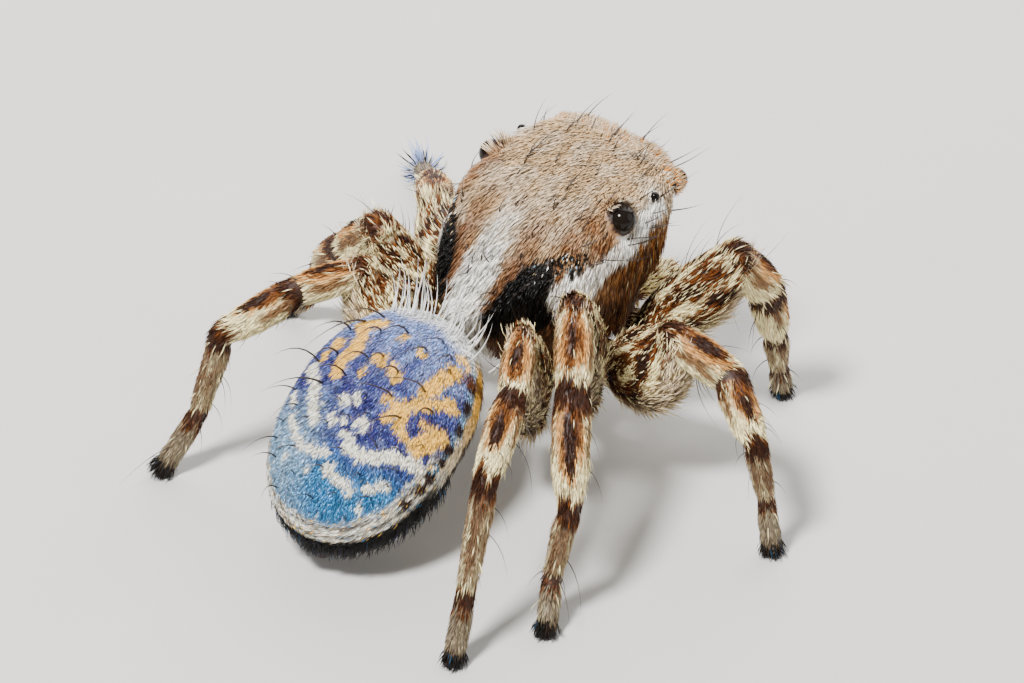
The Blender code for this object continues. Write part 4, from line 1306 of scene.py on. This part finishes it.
def socket_groups(sign, draw):
    """Hairs that leave each eye's socket square to its ball: those over the two larger side eyes point
    along the eye's axis and stand up over the rear one, and the others lie outwards round the eye and
    with the head's hair."""
    settings = coat_settings()
    for kind, side, middle, axis, radius in each_eye():
        if side != sign:
            continue
        count = int(SOCKET_TUFTS * (radius / 0.1) ** 1.3)
        beside = unit(np.cross(axis, (0.0, 0.1, 1.0)))
        above = np.cross(beside, axis)
        tilt = np.arccos(draw.uniform(-0.60, 0.38, count))
        turn = draw.uniform(0, math.tau, count)
        ring = beside * np.cos(turn)[:, None] + above * np.sin(turn)[:, None]
        out = unit(axis * np.cos(tilt)[:, None] + ring * np.sin(tilt)[:, None])
        points = middle - axis * radius * SOCKET_DEPTH + out * radius * (SOCKET_WIDTHS[kind] - SOCKET_ROOTS)
        lie = ring * np.cos(tilt)[:, None] - axis * np.sin(tilt)[:, None]
        lie = lie + head_lie(points, out, draw) * 0.5
        reach = settings.head_hair / MM * draw.uniform(0.45, 0.85, count) * min(1.0, radius / 0.07)
        lift = draw.uniform(0.15, 0.45, count)
        tint = head_colour(points)[0]
        hood = np.zeros(count, bool)
        if kind == "anterior_lateral":
            hood = (ring[:, 1] > -0.2) & (ring[:, 2] > -0.6) & (tilt > 1.25)
            tint = np.where(draw.random(count)[:, None] < 0.3, palette("rust"), palette("tan"))
        elif kind == "posterior_lateral":
            hood = (ring[:, 2] > 0.45) & (tilt > 1.20)
            shade = draw.random(count)[:, None]
            tint = np.where((tilt < 1.5)[:, None], palette("grey"), tint)
            tint = np.where(hood[:, None] & (shade < 0.12), palette("leg_dark") * 1.5, tint)
        elif kind == "anterior_median":
            tint = np.where((tilt < 1.6)[:, None], palette("rust"), tint)
        else:
            tint = np.where((tilt < 1.5)[:, None], palette("cream"), tint)
        lie = np.where(hood[:, None], axis * 1.2 + draw.normal(0, 0.22, lie.shape), lie)
        reach = np.where(hood, draw.uniform(0.7, 1.1, count) * radius, reach)
        flare = (0.35, 0.75) if kind == "posterior_lateral" else (-0.22, 0.08)
        lift = np.where(hood, draw.uniform(*flare, count), lift)
        width = settings.hair_width / MM * 0.85
        yield {"shape": [points, out, lie, reach, width, lift], "tint": varied_tint(tint, draw),
               "shine": np.zeros(count), "map": head_map(points)}


def abdomen_coat_groups(part, draw):
    """Fine scales that lie back along the abdomen and spread to its sides by their place across; on the
    rear rim they follow the oval of the abdomen's plan instead."""
    settings = coat_settings()
    first, second, share = ABDOMEN_PARTS[part]
    count = int(settings.abdomen_tufts * share)
    surface = inside(abdomen_surface, settings.skin_depth / MM)
    angles = first * math.pi, second * math.pi
    turn, angle, points, out = scattered(surface, (-1.56, 1.56), angles, count, draw)
    backward, across, above = abdomen_place(turn, angle)
    rearward, sideward, _ = abdomen_ways()
    lie = rearward + sideward * (across * 0.7)[:, None] + draw.normal(0, 0.16, points.shape)
    lie = lie + sideward * (ripple(points, 0.25, 41) * 0.2)[:, None]
    rim = (step_between(0.27, 0.18, above) * step_between(-0.10, 0.10, backward) * (above > -0.02))[:, None]
    back = np.sign(across) * across / ABDOMEN_HALF_WIDTH ** 2
    aside = -np.sign(across) * backward / ABDOMEN_HALF_LENGTH ** 2
    along = unit(rearward * back[:, None] + sideward * aside[:, None])
    lie = lie * (1 - 0.85 * rim) + along * 0.85 * rim
    tint, shine = abdomen_colour(backward, across, above)
    under = step_between(0.0, -0.12, above)
    reach = settings.abdomen_hair / MM * draw.uniform(0.7, 1.25, count) * (1 + under)
    width = settings.hair_width / MM * draw.uniform(0.8, 1.15, count)
    lift = draw.uniform(0.08, 0.26, count)
    glint = draw.normal(0, 1, count)
    hue = np.exp(np.stack([glint * 0.16, glint * -0.03, glint * -0.12], -1) * shine[:, None])
    tint = varied_tint(tint, draw, 0.09) * np.exp(draw.normal(-0.08, 0.42, count) * shine)[:, None] * hue
    chance = draw.random(count)
    # Painted glints: a few shiny scales made lighter with lilac.
    light = (chance < 0.08) & (shine > 0.5)
    tint[light] = tint[light] * 0.6 + palette("lilac") * 0.5
    dull = (chance > 0.90) & (above > -0.05)
    tint[dull] = tint[dull] * 0.35
    # Painted glints: single rim scales in bright turquoise and orange.
    for low, high, name in ((0.08, 0.11, "turquoise"), (0.11, 0.135, "orange")):
        painted_glints = (rim[:, 0] > 0.5) & (chance > low) & (chance < high)
        tint[painted_glints] = palette(name) * 1.2
    yield {"shape": [points, out, lie, reach, width, lift], "tint": tint, "shine": shine,
           "map": unwrapped(turn, angle)}


def fringe_groups(draw):
    """Dark hairs that hang from the abdomen's rear rim, some with a blue glint."""
    settings = coat_settings()
    surface = inside(abdomen_surface, settings.skin_depth / MM)
    count = FRINGE_TUFTS
    round_rim = draw.uniform(-0.48, 0.48, count) * math.pi
    turn = np.arcsin(np.cos(round_rim) * 0.999)
    lower = draw.uniform(0.05, 0.75, count)
    angle = np.where(round_rim > 0, -lower, math.pi + lower)
    points = surface(turn, angle)
    out = square_to(surface, turn, angle, 0.01)
    out[(out * (points - on_abdomen(0.0, 0.0, 0.0))).sum(-1) < 0] *= -1
    level = out * np.array((1, 1, 0))
    lie = level * 0.25 + np.array((0, 0.18, -1.0)) + draw.normal(0, 0.16, points.shape)
    reach = draw.uniform(0.09, 0.19, count)
    tint = palette("black")[None] * draw.uniform(0.6, 1.8, count)[:, None]
    shade = draw.random(count)
    # Painted glints: a few fringe hairs in dim violet and turquoise.
    tint[shade < 0.07] = palette("violet") * 0.4
    tint[(shade > 0.07) & (shade < 0.11)] = palette("turquoise") * 0.4
    shape = [points, out, lie, reach, settings.hair_width / MM, draw.uniform(0.15, 0.5, count)]
    yield {"kind": LONG_TUFT, "shape": shape, "tint": tint, "shine": np.full(count, 0.5),
           "map": unwrapped(turn, angle)}


def leg_coat_groups(name, draw):
    """Hairs that lie along a leg towards its foot: longer and looser under the thigh, shorter at the
    foot, with pale ones strewn over the thigh and a few that stand off."""
    settings = coat_settings()
    count = settings.leg_tufts
    surface = inside(leg_surface(name), settings.skin_depth / MM * LEG_DEPTH)
    place, angle, points, out = scattered(surface, (0.7, SOLE - 0.02), (0, math.tau), count, draw)
    lie = heading_on(surface, place, angle) + draw.normal(0, 0.11, points.shape)
    lie = lie + np.stack([ripple(points, 0.14, seed) for seed in (51, 52, 53)], -1) * 0.18
    tint, shine = leg_colour(name, place, angle)
    thigh = 1 - step_between(KNEE - 0.8, KNEE, place)
    below = np.maximum(-np.sin(angle), 0)
    reach = settings.leg_hair / MM * draw.uniform(0.65, 1.2, count)
    reach = reach * (1 + 0.9 * below * thigh) * (1 - 0.35 * step_between(TOE, SOLE, place))
    lift = draw.uniform(0.04, 0.15, count) + 0.26 * below * thigh * draw.random(count)
    width = settings.hair_width / MM * draw.uniform(0.7, 1.15, count)
    chance = draw.random(count)
    loose = (chance < 0.012) & (place < SOLE - 1.6)
    light = (chance < 0.012 + 0.24 * thigh) | loose
    tint[light] = tint[light] * 0.25 + palette("leg_cream") * 0.75
    lift[loose] += draw.uniform(0.1, 0.35, loose.sum())
    reach[loose] *= 1.25
    tips = points + unit(lie) * reach[:, None]
    clear = (points[:, 2] > LOWEST * 2) & (tips[:, 2] > -0.03)
    shape = [v[clear] for v in (points, out, lie, reach, width, lift)]
    spot = np.stack([angle / math.tau, place / SOLE], -1)
    yield {"shape": shape, "tint": varied_tint(tint, draw)[clear], "shine": shine[clear], "map": spot[clear]}
    yield foot_group(surface, name == BRUSHED_LEG, draw)


def foot_group(surface, brushed, draw):
    """The dark brush of hairs round a foot's end, a few with a painted dark turquoise glint; on the one
    brushed leg the hairs are longer and most carry a painted lilac glint.
    """
    count = FOOT_TUFTS
    place, angle, points, out = scattered(surface, (SOLE - 1.25, SOLE - 0.25), (0, math.tau), count, draw)
    lie = heading_on(surface, place, angle) + draw.normal(0, 0.15, points.shape)
    tint = palette("black")[None] * draw.uniform(0.8, 3.0, count)[:, None]
    # Painted glints: lilac on most hairs of the brushed leg, dark turquoise on a few of the others.
    glint = draw.random(count) < (0.75 if brushed else 0.07)
    tint[glint] = palette("lilac") * 1.2 if brushed else palette("turquoise") * 0.15
    longer = 1.8 if brushed else 1.0
    reach = np.minimum(draw.uniform(0.07, 0.13, count), points[:, 2] * 0.95) * longer
    shape = [points, out, lie, reach, FOOT_HAIR_WIDTH, draw.uniform(0.25, 0.6, count) * longer]
    return {"shape": shape, "tint": tint, "shine": np.full(count, 0.4),
            "map": np.stack([angle / math.tau, place / SOLE], -1)}


def mouth_coat_groups(draw):
    """Short pale and brown hairs on the chelicerae and palps, each with a quarter of the bake map."""
    count = MOUTH_TUFTS
    for index, (name, (whole, last)) in enumerate(mouth_surfaces().items()):
        surface = inside(whole, MOUTH_HAIR_DEPTH)
        place, angle, points, out = scattered(surface, (0.3, last - 0.03), (0, math.tau), count, draw)
        lie = heading_on(surface, place, angle) + draw.normal(0, 0.2, points.shape)
        pale = draw.random(count) < (0.75 if name.startswith("palp") else 0.45)
        tint = np.where(pale[:, None], palette("leg_cream"), palette("leg_brown"))
        spot = np.stack([(angle / math.tau + index) / 4, place / last], -1)
        reach = draw.uniform(0.06, 0.11, count)
        shape = [points, out, lie, reach, MOUTH_HAIR_WIDTH, draw.uniform(0.2, 0.4, count)]
        yield {"shape": shape, "tint": varied_tint(tint, draw), "shine": np.zeros(count), "map": spot}


# Bristles and claws


def bristle_mesh(roots, start, bend, reach, radius):
    """Many tapered tubes: each leaves its root along start and, with the square of its length, curves
    towards bend. Those that would come down to the floor are left out."""
    count = len(roots)
    share = np.linspace(0, 1, BRISTLE_RINGS)[None, :, None]
    reach = np.broadcast_to(reach, count)[:, None, None]
    start, bend = unit(start)[:, None], unit(bend)[:, None]
    path = roots[:, None] + reach * (start * share * (1 - 0.45 * share) + bend * share ** 2 * 0.75)
    path = path[path[..., 2].min(-1) > LOWEST]
    heading = unit(np.gradient(path, axis=1))
    beside = unit(np.cross(heading, (0.31, 0.17, 0.93)))
    above = np.cross(heading, beside)
    turn = (np.arange(BRISTLE_SIDES) * math.tau / BRISTLE_SIDES)[None, None, :, None]
    thin = radius * (1.02 - share[..., None])
    rings = path[:, :, None] + thin * (beside[:, :, None] * np.cos(turn) + above[:, :, None] * np.sin(turn))
    pattern = closed_grid(rings[0])[1]
    middle = np.stack([rings[:, 0].mean(1), rings[:, -1].mean(1)], 1)
    points = np.concatenate([rings.reshape(len(path), -1, 3), middle], 1)
    faces = pattern[None] + np.arange(len(path))[:, None, None] * points.shape[1]
    return points.reshape(-1, 3), faces.reshape(-1, 4)


def bristle_object(name, batches, finish):
    """Bristles of one finish in one object."""
    made = mesh_object(name, *joined(bristle_mesh(*batch) for batch in batches))
    finish.put_on(made)
    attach(made, "root")
    return made


def head_bristles(draw):
    """Dark bristles that stand on the head and curve forward, and finer ones that lie back, each cut
    short of the head's ceiling by the share of its length that it rises."""
    for count, reach, radius, erect in HEAD_BRISTLES:
        surface = inside(head_surface, ROOT_DEPTH)
        _, _, points, out = scattered(surface, (-1.0, 1.40), (0.30, math.pi - 0.30), count, draw)
        ahead = np.array((0, -1.0, 0.05)) if erect > 0.5 else np.array((0, 1.0, 0.0))
        start = out * erect * 0.75 + ahead * 0.5 + draw.normal(0, 0.18, points.shape)
        keep = clear_of_eyes(points, points + start * 0.2)
        bend = ahead + out * 0.1 + draw.normal(0, 0.25, points.shape)
        rise = unit(start)[:, 2] * 0.55 + unit(bend)[:, 2] * 0.75
        room = (HEAD_CEILING - points[:, 2]) / np.maximum(rise, 0.05)
        size = np.minimum(draw.uniform(*reach, count), room)
        yield points[keep], start[keep], bend[keep], size[keep], radius


def abdomen_bristles(draw):
    """Long dark bristles that leave the orange spots and bend back, with shorter ones behind, some
    mirrored to the other side; their roots lie a little under the dome."""
    rearward, sideward, upward = abdomen_ways()
    for places, reach, radius in ABDOMEN_BRISTLES:
        backward, across = np.array(places + tuple((b, -a) for b, a in places if abs(a) > 0.1)).T
        narrow = ABDOMEN_HALF_WIDTH * closing(backward / ABDOMEN_HALF_LENGTH, ABDOMEN_PLAN_ROUNDNESS)
        height = ABDOMEN_DOME / ABDOMEN_HALF_WIDTH * narrow * closing(across / narrow, ABDOMEN_DOME_ROUNDNESS)
        roots = on_abdomen(backward, across, height - ROOT_SUNK)
        sideways = np.sign(across + 0.05)[:, None] * sideward
        start = upward + sideways * (np.abs(across)[:, None] * 0.8) + draw.normal(0, 0.15, roots.shape)
        bend = rearward + upward * 0.4 - sideways * 0.2 + draw.normal(0, 0.3, roots.shape)
        yield roots, start, bend, draw.uniform(*reach, len(roots)), radius


def leg_bristles(name, draw):
    """Sparse long bristles that stand off a leg and bend towards its foot."""
    whole = leg_surface(name)
    count = LEG_BRISTLES
    surface = inside(whole, ROOT_DEPTH)
    place, angle, points, out = scattered(surface, (3.5, SOLE - 1.5), (0, math.tau), count, draw)
    along = heading_on(whole, place, angle)
    reach = draw.uniform(0.12, 0.24, count) * np.where(draw.random(count) < 0.25, 1.8, 1.0)
    return points, out + along * 0.6, along + out * 0.2, reach, LEG_BRISTLE_RADIUS


def brush_bristles(draw):
    """The pale brush that stands on an arc across the abdomen's front and curls up and ahead."""
    count = BRUSH_BRISTLES
    across = draw.uniform(-0.30, 0.56, count)
    backward = -0.84 + 0.55 * across ** 2 + draw.uniform(-0.04, 0.06, count)
    narrow = closing(backward / ABDOMEN_HALF_LENGTH, ABDOMEN_PLAN_ROUNDNESS)
    side = across / (ABDOMEN_HALF_WIDTH * narrow + 1e-6)
    above = ABDOMEN_DOME * narrow * closing(side, ABDOMEN_DOME_ROUNDNESS)
    roots = on_abdomen(backward, across, above - ROOT_SUNK)
    aside = np.sign(across)[:, None] * np.array((-1.0, 0, 0)) * np.abs(across)[:, None]
    start = np.array((0.0, -0.75, 0.8)) + aside * 1.2 + draw.normal(0, 0.15, roots.shape)
    bend = np.array((0.0, 0.10, 1.0)) + aside * 0.4 + draw.normal(0, 0.18, roots.shape)
    return roots, start, bend, draw.uniform(0.22, 0.38, count), BRUSH_BRISTLE_RADIUS


def claw_batches():
    """Two small claws at the end of each foot, which point ahead and apart and hook down."""
    for name in LEG_POSES:
        path, _, across = leg_stations(name)
        tip = np.array((path[-1][0], path[-1][1], CLAW_HEIGHT))
        ahead = unit((path[-1] - path[ANKLE]) * np.array((1, 1, 0)))
        roots = np.stack([tip + across * 0.02, tip - across * 0.02]) + ahead * 0.05
        start = np.stack([ahead + across * 0.2, ahead - across * 0.2]) + np.array((0, 0, 0.35))
        yield roots, start, np.repeat(np.array(((0, 0, -1.0),)), 2, 0), CLAW_LENGTH, CLAW_RADIUS


# Steps


def area_light(name, place, aim, size, power):
    """A round lamp at a place, turned towards its aim."""
    data = bpy.data.lights.new(name, "AREA")
    data.shape = "DISK"
    data.size = size
    data.energy = power
    made = bpy.data.objects.new(name, data)
    bpy.context.scene.collection.objects.link(made)
    made.location = place
    made.rotation_euler = (Vector(aim) - Vector(place)).to_track_quat("-Z", "Y").to_euler()
    return made


class SPIDER_OT_skin(bpy.types.Operator):
    """Builds the one skin that stands for all the flesh"""
    bl_idname = "spider.skin"
    bl_label = "Skin"

    def execute(self, context):
        skin = fused_skin()
        bare_skin().put_on(skin)
        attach(skin, "root")
        flesh = ["cephalothorax", "abdomen", "pedicel", "spinnerets"]
        flesh += [f"{part}_{side}" for part in ("chelicera", "palp") for side in ("left", "right")]
        flesh += [f"leg_{name}_{piece}" for name in LEG_POSES for piece in LEG_PIECES]
        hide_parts(*flesh)
        return {"FINISHED"}


class SPIDER_OT_eyes(bpy.types.Operator):
    """Builds the eight eyes"""
    bl_idname = "spider.eyes"
    bl_label = "Eyes"

    def execute(self, context):
        lens = speckled("eye_lens", 3000.0, (0.004, 0.003, 0.003), (0.012, 0.008, 0.005), Roughness=0.04,
                        Specular_IOR_Level=0.12, Coat_Weight=0.05, Coat_Roughness=0.02)
        for kind, sign, centre, _, radius in each_eye():
            side = "right" if sign > 0 else "left"
            eye = mesh_object(f"lens_{kind}_{side}", *closed_grid(eye_surface(centre, radius)))
            lens.put_on(eye)
            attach(eye, "root")
            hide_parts(f"eye_{kind}_{side}")
        return {"FINISHED"}


class SPIDER_OT_head_coat(bpy.types.Operator):
    """Covers the head with hair"""
    bl_idname = "spider.head_coat"
    bl_label = "Head coat"

    def execute(self, context):
        finish = furry("head_hair")
        for side, sign in SIDES:
            draw = np.random.default_rng(SEED + sign)
            coat_piece(f"coat_head_{side}", head_coat_groups(sign, draw), finish)
        return {"FINISHED"}


class SPIDER_OT_abdomen_coat(bpy.types.Operator):
    """Covers the abdomen with scales and gives it its fringe"""
    bl_idname = "spider.abdomen_coat"
    bl_label = "Abdomen coat"

    def execute(self, context):
        finish = furry("abdomen_scales", shine_metal=0.45, roughness=0.5, specular=0.35)
        draw = np.random.default_rng(SEED + 2)
        for part in ABDOMEN_PARTS:
            coat_piece(f"coat_abdomen_{part}", abdomen_coat_groups(part, draw), finish)
        coat_piece("fringe_abdomen", fringe_groups(draw), finish)
        return {"FINISHED"}


class SPIDER_OT_leg_coats(bpy.types.Operator):
    """Covers each leg with hair"""
    bl_idname = "spider.leg_coats"
    bl_label = "Leg coats"

    def execute(self, context):
        finish = furry("leg_hair", roughness=0.6, specular=0.18)
        for index, name in enumerate(LEG_POSES):
            draw = np.random.default_rng(SEED + 10 + index)
            coat_piece(f"coat_leg_{name}", leg_coat_groups(name, draw), finish)
        return {"FINISHED"}


class SPIDER_OT_mouth_coat(bpy.types.Operator):
    """Covers the palps and chelicerae with short hair"""
    bl_idname = "spider.mouth_coat"
    bl_label = "Mouth coat"

    def execute(self, context):
        draw = np.random.default_rng(SEED + 30)
        coat_piece("coat_mouth", mouth_coat_groups(draw), furry("mouth_hair"))
        return {"FINISHED"}


class SPIDER_OT_bristles(bpy.types.Operator):
    """Adds the long bristles and the claws"""
    bl_idname = "spider.bristles"
    bl_label = "Bristles and claws"

    def execute(self, context):
        draw = np.random.default_rng(SEED + 40)
        dark = speckled("dark_bristle", 5000.0, (0.010, 0.007, 0.005), (0.045, 0.028, 0.018),
                        Roughness=0.35, Specular_IOR_Level=0.5)
        pale = speckled("pale_bristle", 5000.0, (0.75, 0.73, 0.70), (0.95, 0.94, 0.92),
                        Roughness=0.4, Specular_IOR_Level=0.5)
        bristle_object("bristles_head", head_bristles(draw), dark)
        bristle_object("bristles_abdomen", abdomen_bristles(draw), dark)
        bristle_object("bristles_legs", [leg_bristles(name, draw) for name in LEG_POSES], dark)
        bristle_object("brush_abdomen", [brush_bristles(draw)], pale)
        bristle_object("claws", claw_batches(), dark)
        return {"FINISHED"}


class SPIDER_OT_stage(bpy.types.Operator):
    """Sets the pale floor, the soft lights and the camera"""
    bl_idname = "spider.stage"
    bl_label = "Stage"

    def execute(self, context):
        stage = context.scene.spider_stage
        floor_points = np.array(((-1, -1, 0), (1, -1, 0), (1, 1, 0), (-1, 1, 0))) * FLOOR_HALF_WIDTH
        floor = mesh_object("floor", floor_points, np.array(((0, 1, 2, 3),)), in_metres=True)
        speckled("pale_floor", 400.0, (0.54, 0.525, 0.50), (0.60, 0.585, 0.56), Roughness=0.85,
                 Specular_IOR_Level=0.2).put_on(floor)
        aim = at(*AIM) * MM + SHIFT
        turn, rise = stage.camera_azimuth, stage.camera_elevation
        away = np.array((math.sin(turn) * math.cos(rise), -math.cos(turn) * math.cos(rise), math.sin(rise)))
        data = bpy.data.cameras.new("camera")
        data.lens = data.sensor_width * stage.camera_distance / stage.framed_width
        data.clip_start = 0.001
        data.clip_end = 10.0
        camera = bpy.data.objects.new("camera", data)
        context.scene.collection.objects.link(camera)
        camera.location = aim + away * stage.camera_distance
        camera.rotation_euler = Vector(-away).to_track_quat("-Z", "Y").to_euler()
        context.scene.camera = camera
        right = np.array((math.cos(turn), math.sin(turn), 0))
        for (near, aside, up), size, power in LAMPS:
            offset = away * near + right * aside + (0, 0, up)
            area_light("lamp", aim + offset * MM, aim, size * MM, power)
        world = bpy.data.worlds.new("studio")
        world.use_nodes = True
        sky = world.node_tree.nodes["Background"]
        sky.inputs["Color"].default_value = SKY_TINT
        sky.inputs["Strength"].default_value = SKY_STRENGTH
        context.scene.world = world
        return {"FINISHED"}


class SPIDER_PT_panel(bpy.types.Panel):
    """Lists the builder's settings and steps"""
    bl_label = "Peacock spider"
    bl_idname = "SPIDER_PT_panel"
    bl_space_type = "VIEW_3D"
    bl_region_type = "UI"
    bl_category = "Spider"

    def draw(self, context):
        for group in (context.scene.spider_coat, context.scene.spider_colours, context.scene.spider_stage):
            box = self.layout.box()
            for name in group.bl_rna.properties.keys():
                if name not in ("rna_type", "name"):
                    box.prop(group, name)
        for operator in OPERATORS:
            self.layout.operator(operator.bl_idname)


OPERATORS = (SPIDER_OT_skin, SPIDER_OT_eyes, SPIDER_OT_head_coat, SPIDER_OT_abdomen_coat, SPIDER_OT_leg_coats,
             SPIDER_OT_mouth_coat, SPIDER_OT_bristles, SPIDER_OT_stage)
CLASSES = (SpiderCoat, SpiderColours, SpiderStage, *OPERATORS, SPIDER_PT_panel)


def register():
    """Adds the classes, and a pointer for each group of settings to the scene."""
    for made in CLASSES:
        bpy.utils.register_class(made)
    bpy.types.Scene.spider_coat = bpy.props.PointerProperty(type=SpiderCoat)
    bpy.types.Scene.spider_colours = bpy.props.PointerProperty(type=SpiderColours)
    bpy.types.Scene.spider_stage = bpy.props.PointerProperty(type=SpiderStage)


def unregister():
    """Takes away what register added."""
    for name in ("spider_coat", "spider_colours", "spider_stage"):
        delattr(bpy.types.Scene, name)
    for made in reversed(CLASSES):
        bpy.utils.unregister_class(made)


def main():
    """Runs every step."""
    register()
    bpy.ops.spider.skin()
    bpy.ops.spider.eyes()
    bpy.ops.spider.head_coat()
    bpy.ops.spider.abdomen_coat()
    bpy.ops.spider.leg_coats()
    bpy.ops.spider.mouth_coat()
    bpy.ops.spider.bristles()
    bpy.ops.spider.stage()


if __name__ == "__main__":
    main()
